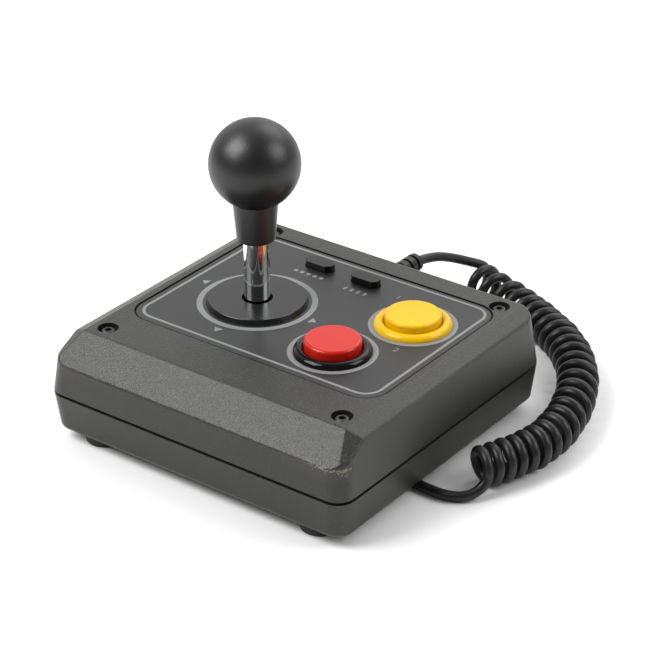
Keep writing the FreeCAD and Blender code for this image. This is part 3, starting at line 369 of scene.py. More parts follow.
@dataclass(frozen=True)
class WornCasePlastic(SparkedPlastic):
    """The case's plastic: less grain on its walls, chipped front corners, painted shade round the panel's
    recess.
    """

    wall_grain: float = 0.4
    corner_x: float = 75.2 * MM
    corner_y: float = -71.2 * MM
    corner_reach: float = 4 * MM
    slope_foot_y: float = -71.9 * MM
    slope_foot_z: float = 36.6 * MM
    edge_drop: float = 0.4 * MM
    edge_reach: float = 1.5 * MM
    chipped_from: float = 38 * MM
    chipped_full: float = 68 * MM
    flecks_from: float = 29 * MM
    flecks_end: float = 0.8 * MM
    flecks_near: float = 4 * MM
    flecks_far: float = 9 * MM
    chip: float = 0.8 * MM
    chip_patch: float = 6 * MM
    scuff: Colour = (0.16, 0.145, 0.108)
    smear: float = 0.12
    recess_gap: float = 0.4 * MM
    recess_corner: float = 11.0 * MM
    recess_level: float = 47.0 * MM
    # The width and strength of the painted shade line round the panel's recess.
    painted_shade_width: float = 0.65 * MM
    painted_shade: float = 0.85

    def recess_painted_shade(self, place: Axes) -> Field:
        """The thin dark line of painted shade on the edge of the panel's recess, where its gap lies in
        shadow.

        Args:
            place: The position on the case.

        Returns:
            How much painted shade shows.
        """
        low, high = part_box("face_panel")
        straight = self.recess_corner - self.recess_gap
        past = [
            (abs(axis - (low[n] + high[n]) / 2) - ((high[n] - low[n]) / 2 - straight)).larger(0.0)
            for n, axis in enumerate(place[:2])
        ]
        outside = (past[0] ** 2.0 + past[1] ** 2.0) ** 0.5 - self.recess_corner
        line = outside.rise(self.painted_shade_width, 0.4 * self.painted_shade_width)
        return self.painted_shade * line * place[2].rise(self.recess_level - 0.5 * MM, self.recess_level)

    def rubbed(self, place: Axes) -> Field:
        """The foot of the front slope and the wall below it, most of all near the right corner.

        Args:
            place: The position on the case.

        Returns:
            How much it is rubbed there.
        """
        x, y, z = place
        foot_y, foot_z = self.slope_foot_y, self.slope_foot_z
        to_foot = ((y - foot_y) ** 2.0 + (z - foot_z) ** 2.0) ** 0.5
        right = x.rise(self.chipped_from, self.chipped_full)
        left = (-1.0 * x).rise(self.chipped_from, self.chipped_full)
        edge = abs(z - foot_z + self.edge_drop).rise(self.edge_reach, 0.2 * MM)
        edge = edge * y.rise(foot_y + self.flecks_far, foot_y + self.flecks_near)
        wall = z.rise(self.flecks_from, foot_z) * z.rise(foot_z + self.flecks_end, foot_z)
        below = 0.66 * wall * to_foot.rise(self.flecks_far, self.flecks_near)
        return edge.larger(below) * right.larger(0.6 * left)

    def paint(self, bench: Bench) -> None:
        """Wires the skin with its chips and its painted shade."""
        # The grain and its painted glint flecks show less on the walls than on upward faces.
        shown = self.wall_grain + (1 - self.wall_grain) * bench.upward().rise(0.25, 0.6)
        colour, roughness, normal = self.skin(bench, shown)
        place = bench.axes()
        to_corner = ((abs(place[0]) - self.corner_x) ** 2.0 + (place[1] - self.corner_y) ** 2.0) ** 0.5
        corner = 0.4 * to_corner.rise(self.corner_reach, 0.5 * MM)
        rubbed = self.rubbed(place)
        chips = bench.noise(self.chip, Pattern.GRAIN) + 0.5 * (bench.noise(self.chip_patch) - 0.5)
        worn = (chips + 0.36 * rubbed.larger(corner)).rise(0.78, 0.88)
        bench.surface({
            "Base Color": bench.mix(worn.larger(self.smear * rubbed), colour, self.scuff),
            "Roughness": roughness + 0.25 * worn,
            "Normal": normal,
        })
        # Painted shade: a thin dark line round the panel's recess, where the gap is in shadow.
        bench.lay_painted_shade(self.recess_painted_shade(place))


@dataclass(frozen=True)
class GlossPlastic(Finish):
    """Smooth moulded plastic with a faint ripple, hairline scratches and a soft sheen."""

    roughness: float
    coat: float
    specular: float
    scratch: float = 0.10
    ripple: float = 0.012 * MM
    coat_roughness: float = 0.12

    def paint(self, bench: Bench) -> None:
        """Wires the plastic."""
        cloud = bench.noise(9 * MM)
        streaks = bench.noise(1.0 * MM, Pattern.SPECK, bench.stretched((0.12, 1.0, 1.0)))
        lines = streaks.rise(0.58, 0.66)
        colour = bench.mix(cloud, shade(self.colour, 0.94), shade(self.colour, 1.05))
        normal = bench.bump(bench.noise(3 * MM), self.ripple)
        bench.surface({
            "Base Color": colour,
            "Roughness": self.roughness + self.scratch * lines + 0.08 * (cloud - 0.5),
            "Normal": normal,
            "Coat Weight": self.coat,
            "Coat Roughness": self.coat_roughness,
            "Specular IOR Level": self.specular,
        })


@dataclass(frozen=True)
class PlatedMetal(Finish):
    """Bare or plated metal with a brushed grain along one axis."""

    roughness: float
    grain: Triple
    haze: float
    tarnish: float

    def paint(self, bench: Bench) -> None:
        """Wires the metal."""
        cloud = bench.noise(6 * MM)
        brushed = bench.noise(0.5 * MM, Pattern.GRAIN, bench.stretched(self.grain))
        bench.surface({
            "Metallic": 1.0,
            "Base Color": bench.mix(cloud, shade(self.colour, self.tarnish), self.colour),
            "Roughness": self.roughness + self.haze * brushed + 0.5 * self.haze * cloud,
            "Normal": bench.bump(brushed, 0.002 * MM, 0.4),
        })


@dataclass(frozen=True)
class RubberSkin(Finish):
    """Matt rubber or soft cord jacket, with dust in its fine texture."""

    roughness: float
    grain: float = 0.35 * MM
    dust: Colour = (0.10, 0.10, 0.095)
    specular: float = 0.36

    def paint(self, bench: Bench) -> None:
        """Wires the rubber."""
        cloud = bench.noise(5 * MM)
        fine = bench.noise(self.grain, Pattern.GRAIN)
        dusty = bench.noise(11 * MM, Pattern.GRAIN).rise(0.5, 0.75) * fine
        colour = bench.mix(cloud, shade(self.colour, 0.85), shade(self.colour, 1.15))
        bench.surface({
            "Base Color": bench.mix(0.25 * dusty, colour, self.dust),
            "Roughness": self.roughness + 0.12 * (fine - 0.5) + 0.10 * dusty,
            "Normal": bench.bump(fine, 0.02 * MM, 0.5),
            "Specular IOR Level": self.specular,
        })


@dataclass(frozen=True)
class ScreenInk(Finish):
    """Pale screen-printed ink, a little thin in places."""

    roughness: float = 0.5
    thin: Colour = (0.12, 0.12, 0.12)

    def paint(self, bench: Bench) -> None:
        """Wires the ink."""
        bare = bench.noise(1.1 * MM, Pattern.GRAIN).rise(0.58, 0.72)
        cloud = bench.noise(14 * MM)
        colour = bench.mix(cloud, shade(self.colour, 0.92), shade(self.colour, 1.05))
        bench.surface({
            "Base Color": bench.mix(0.35 * bare, colour, self.thin),
            "Roughness": self.roughness + 0.1 * (cloud - 0.5),
            "Normal": bench.bump(bench.noise(0.5 * MM, Pattern.GRAIN), 0.01 * MM, 0.4),
        })


@dataclass(frozen=True)
class CircuitBoard(Finish):
    """A green board: paler copper tracks under the mask, and the weave of the glass below."""

    track: Colour = (0.05, 0.22, 0.10)
    pitch: float = 2.54 * MM

    def paint(self, bench: Bench) -> None:
        """Wires the board."""
        wander = bench.noise(9 * MM, Pattern.SPECK)
        across = bench.axes()[0]
        lanes = (across / self.pitch + 2 * wander).fraction()
        tracks = abs(lanes - 0.5).rise(0.30, 0.24) * bench.noise(14 * MM).rise(0.45, 0.5)
        weave = bench.noise(0.4 * MM, Pattern.GRAIN, bench.stretched((1.0, 0.3, 1.0)))
        bench.surface({
            "Base Color": bench.mix(tracks, self.colour, self.track),
            "Roughness": 0.32 + 0.1 * weave,
            "Normal": bench.bump(0.7 * tracks + 0.3 * weave, 0.03 * MM, 0.6),
        })


# The case's pale flecks (dust=0.5) are partly dust, partly painted glints of its grain.
CASE = WornCasePlastic(
    "case_charcoal", "case_plastic", (0.0152, 0.0150, 0.0120),
    roughness=0.37, grain=0.48 * MM, depth=0.23 * MM, strength=1.0, dust=0.5,
)
PANEL = SparkedPlastic(
    "panel_charcoal", "panel_plastic", (0.0125, 0.0127, 0.013),
    roughness=0.38, grain=0.45 * MM, depth=0.03 * MM, strength=0.4, dust=0.04,
)
SATIN_BLACK = SparkedPlastic(
    "satin_black", "black_plastic", (0.005, 0.005, 0.0048),
    roughness=0.30, grain=0.35 * MM, depth=0.02 * MM, strength=0.35, dust=0.03, specular=0.36,
)
BALL_BLACK = SparkedPlastic(
    "ball_black", "black_plastic", (0.003, 0.003, 0.003),
    roughness=0.38, grain=0.5 * MM, depth=0.08 * MM, strength=0.8, dust=0.06, specular=0.54,
)
COLLAR_BLACK = SparkedPlastic(
    "collar_black", "black_plastic", (0.003, 0.003, 0.003),
    roughness=0.24, grain=0.5 * MM, depth=0.07 * MM, strength=0.8, dust=0.10,
)
GLOSS_BLACK = GlossPlastic(
    "gloss_black_plastic", "gloss_black", (0.0035, 0.0035, 0.0037),
    roughness=0.07, coat=0.0, specular=0.22,
)
RED = GlossPlastic(
    "gloss_red", "red_plastic", (0.52, 0.010, 0.003),
    roughness=0.24, coat=0.05, scratch=0.015, specular=0.34,
)
YELLOW = GlossPlastic(
    "gloss_yellow", "yellow_plastic", (0.75, 0.440, 0.001),
    roughness=0.26, coat=0.03, scratch=0.015, specular=0.26,
)
CHROME = PlatedMetal(
    "polished_chrome", "chrome", (0.74, 0.75, 0.76),
    roughness=0.05, grain=(1.0, 1.0, 0.1), haze=0.04, tarnish=0.95,
)
STEEL = PlatedMetal(
    "zinc_steel", "steel", (0.46, 0.46, 0.45),
    roughness=0.28, grain=(1.0, 1.0, 0.3), haze=0.15, tarnish=0.85,
)
BLACK_STEEL = PlatedMetal(
    "blackened_steel", "black_steel", (0.075, 0.075, 0.073),
    roughness=0.36, grain=(1.0, 1.0, 1.0), haze=0.12, tarnish=0.8,
)
BRASS = PlatedMetal(
    "brass", "brass", (0.66, 0.47, 0.18),
    roughness=0.25, grain=(1.0, 0.3, 1.0), haze=0.15, tarnish=0.8,
)
FOOT_RUBBER = RubberSkin("foot_rubber", "rubber", (0.016, 0.016, 0.016), roughness=0.62)
JACKET = RubberSkin("cord_jacket", "cord_rubber", (0.009, 0.009, 0.009), roughness=0.37, grain=0.3 * MM)
INK = ScreenInk("pale_ink", "panel_plastic", (0.195, 0.198, 0.202))
BOARD = CircuitBoard("green_board", "board", (0.012, 0.10, 0.045))


def dress(finish: Finish, names: Iterable[str]) -> None:
    """Gives CAD nodes a finish.

    Args:
        finish: The finish.
        names: The nodes.
    """
    for name in names:
        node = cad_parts[name]
        for material_slot in node.material_slots:
            material_slot.material = finish.material()
        LOG.info("dressed %s in %s", name, finish.name)


def settle(piece: Piece, name: str, finish: Finish) -> Piece:
    """Names and finishes a new piece, which rides on the housing.

    Args:
        piece: The piece, in place.
        name: Its name.
        finish: Its finish.

    Returns:
        The piece.
    """
    piece.name = name
    piece.data.name = name
    piece.data.materials.clear()
    piece.data.materials.append(finish.material())
    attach(piece, HOUSING)
    LOG.info("made %s in %s", name, finish.name)
    return piece


def centre_of(name: str) -> Vector:
    """The middle of a CAD node's box."""
    low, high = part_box(name)
    return (Vector(low) + Vector(high)) / 2


class Modelling:
    """Steps of modelling by hand that several pieces share."""

    @staticmethod
    def begin() -> None:
        """Leaves nothing selected before a new piece is started."""
        bpy.ops.object.select_all(action="DESELECT")

    @staticmethod
    def pick(piece: Piece) -> None:
        """Selects one piece alone and makes it the active one."""
        Modelling.begin()
        bpy.context.view_layer.objects.active = piece
        piece.select_set(True)

    @staticmethod
    def apply_place(piece: Piece) -> None:
        """Puts a piece's place into its mesh."""
        Modelling.pick(piece)
        bpy.ops.object.transform_apply(location=True, rotation=True, scale=True)

    @staticmethod
    def join(pieces: Sequence[Piece]) -> Piece:
        """Joins pieces into the first one.

        Args:
            pieces: The pieces.

        Returns:
            The joined piece.
        """
        Modelling.begin()
        for piece in pieces:
            piece.select_set(True)
        bpy.context.view_layer.objects.active = pieces[0]
        bpy.ops.object.join()
        return pieces[0]

    @staticmethod
    def hollow_face(line: float) -> None:
        """Turns the active flat face into a closed line along its edge.

        Args:
            line: The width of the line.
        """
        bpy.ops.object.mode_set(mode="EDIT")
        bpy.ops.mesh.select_mode(type="FACE")
        bpy.ops.mesh.select_all(action="SELECT")
        bpy.ops.mesh.inset(thickness=line, depth=0)
        bpy.ops.mesh.delete(type="FACE")
        bpy.ops.object.mode_set(mode="OBJECT")

    @staticmethod
    def round_corners(radius: float, segments: int) -> None:
        """Rounds every corner of the active flat face.

        Args:
            radius: How far along its edges each round begins.
            segments: How many edges each round has.
        """
        bpy.ops.object.mode_set(mode="EDIT")
        bpy.ops.mesh.select_all(action="SELECT")
        bpy.ops.mesh.bevel(offset=radius, segments=segments, affect="VERTICES")
        bpy.ops.object.mode_set(mode="OBJECT")

    @staticmethod
    def thicken(piece: Piece, thickness: float) -> None:
        """Gives a flat piece its thickness, upwards.

        Args:
            piece: The flat piece.
            thickness: How far it rises.
        """
        Modelling.pick(piece)
        bpy.ops.object.modifier_add(type="SOLIDIFY")
        layer = piece.modifiers[-1]
        layer.thickness = thickness
        layer.offset = 1
        bpy.ops.object.modifier_apply(modifier=layer.name)

    @staticmethod
    def cut(piece: Piece, tool: Piece) -> None:
        """Cuts one piece by another, which is used up.

        Args:
            piece: The piece that is cut.
            tool: What is taken out of it.
        """
        Modelling.pick(piece)
        bpy.ops.object.modifier_add(type="BOOLEAN")
        layer = piece.modifiers[-1]
        layer.operation = "DIFFERENCE"
        layer.solver = "EXACT"
        layer.object = tool
        bpy.ops.object.modifier_apply(modifier=layer.name)
        bpy.data.objects.remove(tool)


@dataclass
class Case:
    """The two shells, the face panel, the screws and the feet."""

    shells: Names = ("top_shell", "bottom_shell")
    feet: Names = ("foot_front_left", "foot_front_right", "foot_rear_left", "foot_rear_right")

    def build(self) -> None:
        """Dresses the case."""
        dress(CASE, self.shells)
        dress(PANEL, ["face_panel"])
        dress(BLACK_STEEL, ["case_screws"])
        dress(FOOT_RUBBER, self.feet)


@dataclass(frozen=True)
class KeyMark:
    """A row of plain bars that is printed by a key: its name, its middle, and its bars' count and size."""

    name: str
    x: float
    y: float
    count: int
    width: float
    depth: float


@dataclass
class PanelPrint:
    """The pale lines and marks that are printed on the face panel."""

    thickness: float = 0.06 * MM
    border_side_inset: float = 2.3 * MM
    border_front_inset: float = 2.7 * MM
    border_back_inset: float = 1.6 * MM
    border_corner: float = 8.4 * MM
    border_line: float = 1.3 * MM
    lever_ring_inner: float = 23.5 * MM
    lever_ring_outer: float = 26.1 * MM
    button_ring_outer: float = 19.0 * MM
    button_ring_line: float = 2.9 * MM
    arrow_base: float = 28.3 * MM
    arrow_tip: float = 31.6 * MM
    arrow_width: float = 4.6 * MM
    arrow_round: float = 0.25 * MM
    arrow_angles: tuple[float, ...] = (math.radians(177.3), math.radians(-86.5), 0.0)
    key_marks: tuple[KeyMark, ...] = (
        KeyMark("left_key_mark_print", -23.0 * MM, 38.4 * MM, 5, 1.8 * MM, 1.8 * MM),
        KeyMark("right_key_mark_print", 2.8 * MM, 37.4 * MM, 4, 1.3 * MM, 2.6 * MM),
    )
    bar_pitch: float = 3.4 * MM
    bar_round: float = 0.3 * MM
    numerals: tuple[tuple[str, float, float], ...] = (
        ("1", 21.3 * MM, 43.6 * MM),
        ("2", 47.1 * MM, 5.25 * MM),
    )
    numeral_height: float = 4.6 * MM
    lever: Vector = field(default_factory=lambda: centre_of("lever_collar"))

    def level(self) -> float:
        """The height of the panel's top."""
        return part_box("face_panel")[1][2]

    def flat_disc(self, middle: Vector, radius: float, sides: int = 144, turn: float = 0.0) -> Piece:
        """Starts a flat face with equal sides on the panel.

        Args:
            middle: Where it is.
            radius: From the middle to its corners.
            sides: How many sides it has.
            turn: How far it is turned, in radians.

        Returns:
            The flat face.
        """
        Modelling.begin()
        bpy.ops.mesh.primitive_circle_add(
            vertices=sides,
            radius=radius,
            fill_type="NGON",
            location=(middle.x, middle.y, self.level()),
            rotation=(0, 0, turn),
        )
        return bpy.context.object

    def finish_flat(self, piece: Piece) -> Piece:
        """Thickens a flat piece with its place in its mesh."""
        Modelling.apply_place(piece)
        Modelling.thicken(piece, self.thickness)
        return piece

    def ring(self, middle: Vector, outer: float, line: float) -> Piece:
        """A printed ring.

        Args:
            middle: Its middle.
            outer: Its outer radius.
            line: How wide its line is.

        Returns:
            The ring.
        """
        piece = self.flat_disc(middle, outer)
        Modelling.hollow_face(line)
        return self.finish_flat(piece)

    def border(self) -> Piece:
        """The line round the panel, with round corners."""
        low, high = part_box("face_panel")
        front = low[1] + self.border_front_inset
        back = high[1] - self.border_back_inset
        width = high[0] - low[0] - 2 * self.border_side_inset
        middle = ((low[0] + high[0]) / 2, (front + back) / 2, self.level())
        Modelling.begin()
        bpy.ops.mesh.primitive_plane_add(size=1, location=middle)
        piece = bpy.context.object
        piece.scale = (width, back - front, 1)
        Modelling.apply_place(piece)
        Modelling.round_corners(self.border_corner, segments=14)
        Modelling.hollow_face(self.border_line)
        return self.finish_flat(piece)

    def arrow(self, angle: float) -> Piece:
        """A printed triangle that points away from the lever.

        Args:
            angle: Its direction, in radians.

        Returns:
            The triangle.
        """
        height = self.arrow_tip - self.arrow_base
        radius = height / 1.5
        way = Vector((math.cos(angle), math.sin(angle), 0))
        middle = self.lever + way * (self.arrow_base + radius / 2)
        piece = self.flat_disc(middle, radius, 3, angle - math.pi / 2)
        piece.scale = (self.arrow_width / (radius * math.sqrt(3)), 1, 1)
        Modelling.apply_place(piece)
        Modelling.round_corners(self.arrow_round, segments=3)
        return self.finish_flat(piece)

    def numeral(self, word: str, x: float, y: float) -> Piece:
        """A printed numeral in Blender's own letter form.

        Args:
            word: The numeral.
            x: Where its middle is, across the panel.
            y: Where its middle is, along the panel.

        Returns:
            The numeral as a mesh.
        """
        Modelling.begin()
        bpy.ops.object.text_add(location=(x, y, self.level()))
        text = bpy.context.object
        text.data.body = word
        text.data.align_x = "CENTER"
        text.data.align_y = "CENTER"
        text.data.size = self.numeral_height
        text.data.extrude = self.thickness
        bpy.ops.object.convert(target="MESH")
        piece = bpy.context.object
        Modelling.apply_place(piece)
        return piece

    def bar(self, mark: KeyMark, number: int) -> Piece:
        """One of the bars of a key's mark.

        Args:
            mark: The mark.
            number: Which bar it is, from the left.

        Returns:
            The bar.
        """
        x = mark.x + (number - (mark.count - 1) / 2) * self.bar_pitch
        Modelling.begin()
        bpy.ops.mesh.primitive_plane_add(size=1, location=(x, mark.y, self.level()))
        piece = bpy.context.object
        piece.scale = (mark.width, mark.depth, 1)
        Modelling.apply_place(piece)
        Modelling.round_corners(self.bar_round, segments=4)
        return self.finish_flat(piece)

    @staticmethod
    def put(piece: Piece, name: str) -> None:
        """Settles a printed piece on the panel."""
        settle(piece, name, INK)

    def build(self) -> None:
        """Prints every line and mark."""
        self.put(self.border(), "panel_border_print")
        lever_line = self.lever_ring_outer - self.lever_ring_inner
        self.put(self.ring(self.lever, self.lever_ring_outer, lever_line), "lever_ring_print")
        for name in ("red", "yellow"):
            ring = self.ring(centre_of(f"{name}_bezel"), self.button_ring_outer, self.button_ring_line)
            self.put(ring, f"{name}_ring_print")
        self.put(Modelling.join([self.arrow(angle) for angle in self.arrow_angles]), "lever_arrows_print")
        for mark in self.key_marks:
            self.put(Modelling.join([self.bar(mark, n) for n in range(mark.count)]), mark.name)
        numerals = [self.numeral(*numeral) for numeral in self.numerals]
        self.put(Modelling.join(numerals), "button_numbers_print")


@dataclass
class CoilSpring:
    """A wound spring in place of a CAD node. With a joint, it gets a mesh of its own."""

    node: str
    wire: float
    turns: int
    room_below: float = 0.0
    joint: str = ""
    travel: float = 0.0
    wire_sides: int = 16
    turn_steps: int = 36
    crease: float = math.radians(50)
    slack: float = 0.05 * MM

    def wind(self, radius: float, height: float) -> Piece:
        """Winds the wire about the Z axis, from the origin up.

        Args:
            radius: From the axis to the wire's middle.
            height: The height of the whole spring.

        Returns:
            The closed coil.
        """
        Modelling.begin()
        bpy.ops.mesh.primitive_circle_add(
            vertices=self.wire_sides,
            radius=self.wire / 2,
            location=(radius, 0, self.wire / 2),
            rotation=(math.pi / 2, 0, 0),
        )
        piece = bpy.context.object
        Modelling.apply_place(piece)
        bpy.ops.object.modifier_add(type="SCREW")
        layer = piece.modifiers[-1]
        layer.iterations = self.turns
        layer.screw_offset = (height - self.wire) / self.turns
        layer.steps = self.turn_steps
        layer.render_steps = self.turn_steps
        bpy.ops.object.modifier_apply(modifier=layer.name)
        bpy.ops.object.mode_set(mode="EDIT")
        bpy.ops.mesh.select_all(action="SELECT")
        bpy.ops.mesh.fill_holes(sides=0)
        bpy.ops.mesh.select_all(action="SELECT")
        bpy.ops.mesh.normals_make_consistent(inside=False)
        bpy.ops.object.mode_set(mode="OBJECT")
        bpy.ops.object.shade_smooth_by_angle(angle=self.crease)
        return piece

    def build(self) -> None:
        """Makes the spring where its node is."""
        low, high = (Vector(corner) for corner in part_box(self.node))
        foot = low.z + self.room_below
        height = high.z - foot
        piece = self.wind((high.x - low.x - self.wire) / 2, height)
        piece.location = ((low.x + high.x) / 2, (low.y + high.y) / 2, foot)
        Modelling.apply_place(piece)
        settle(piece, f"{self.node}_coil", STEEL)
        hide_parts(self.node)
        if self.joint:
            keep = (height - self.travel - self.slack) / height
            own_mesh(piece)


@dataclass
class Lever:
    """The lever with its collar, and what turns and works under it."""

    moulded: Names = ("actuator", "lever_bracket", "gate_plate")
    steel: Names = ("pivot_pin", "shaft_clip", "gimbal_ring")
    screws: Names = ("bracket_bolts", "bracket_nuts", "gate_screws")
    switches: Names = ("right", "back", "left", "front")
    spring_wire: float = 1.5 * MM
    spring_turns: int = 4
    flange_room: float = 2.3 * MM

    def build(self) -> None:
        """Dresses the lever."""
        dress(BALL_BLACK, ["ball_grip"])
        dress(CHROME, ["lever_shaft"])
        dress(COLLAR_BLACK, ["lever_collar"])
        dress(SATIN_BLACK, self.moulded)
        dress(STEEL, self.steel + self.screws)
        dress(BOARD, ["switch_board"])
        dress(GLOSS_BLACK, [f"lever_switch_{side}" for side in self.switches])
        CoilSpring("centering_spring", self.spring_wire, self.spring_turns, self.flange_room).build()


@dataclass
class PushButtons:
    """The two round push buttons, from cap to terminals."""

    travel: float = 3.0 * MM
    spring_wire: float = 1.0 * MM
    spring_turns: int = 5

    def build(self) -> None:
        """Dresses both buttons."""
        for name, cap, bezel in (("red", RED, GLOSS_BLACK), ("yellow", YELLOW, YELLOW)):
            dress(cap, [f"{name}_cap"])
            dress(bezel, [f"{name}_bezel"])
            dress(SATIN_BLACK, [f"{name}_nut", f"{name}_contact_block"])
            dress(BRASS, [f"{name}_terminals"])
            spring = CoilSpring(f"{name}_spring", self.spring_wire, self.spring_turns)
            spring.joint = f"{name}_press"
            spring.travel = self.travel
            spring.build()


@dataclass
class KeysAndBoards:
    """The two keys with their board, and the main board on the floor."""

    def build(self) -> None:
        """Dresses the keys and the boards."""
        dress(SATIN_BLACK, ["select_button", "start_button", "controller_chip", "cord_header"])
        dress(FOOT_RUBBER, ["select_dome", "start_dome"])
        dress(BOARD, ["key_board", "circuit_board"])
        dress(STEEL, ["key_board_screws", "board_screws"])


@dataclass
class PlugInsert:
    """The moulded block inside the plug's shell, with two rows of contact holes."""

    length: float = 4.2 * MM
    width: float = 15.6 * MM
    height: float = 7.0 * MM
    narrowing: float = 0.82
    hole: float = 1.5 * MM
    hole_sides: int = 24
    pitch: float = 2.77 * MM
    row_height: float = 1.42 * MM
    rows: tuple[tuple[int, int], ...] = ((-1, 5), (1, 4))

    def block(self) -> Piece:
        """The D-shaped block, along X about the origin."""
        Modelling.begin()
        bpy.ops.mesh.primitive_cube_add(size=1)
        piece = bpy.context.object
        piece.scale = (self.length, self.width, self.height)
        Modelling.apply_place(piece)
        bpy.ops.object.mode_set(mode="EDIT")
        bpy.ops.mesh.select_mode(type="FACE")
        bpy.ops.mesh.select_all(action="DESELECT")
        bpy.ops.object.mode_set(mode="OBJECT")
        for polygon in piece.data.polygons:
            polygon.select = polygon.normal.z > 0.5
        bpy.ops.object.mode_set(mode="EDIT")
        bpy.ops.transform.resize(value=(1, self.narrowing, 1))
        bpy.ops.object.mode_set(mode="OBJECT")
        return piece

    def holes(self) -> Piece:
        """The rods that the contact holes are cut with."""
        rods = []
        for side, count in self.rows:
            for n in range(count):
                across = (n - (count - 1) / 2) * self.pitch
                Modelling.begin()
                bpy.ops.mesh.primitive_cylinder_add(
                    vertices=self.hole_sides,
                    radius=self.hole / 2,
                    depth=self.length,
                    location=(self.length / 2, across, side * self.row_height),
                    rotation=(0, math.pi / 2, 0),
                )
                rods.append(bpy.context.object)
        rod = Modelling.join(rods)
        Modelling.apply_place(rod)
        return rod

    def build(self) -> Piece:
        """Makes the block, cuts its holes and sets it in the plug's shell."""
        piece = self.block()
        Modelling.cut(piece, self.holes())
        middle = centre_of("plug_shell")
        way = middle - centre_of("plug_boot")
        piece.location = middle
        piece.rotation_euler = (0, 0, math.atan2(way.y, way.x))
        Modelling.apply_place(piece)
        return settle(piece, "plug_insert", SATIN_BLACK)


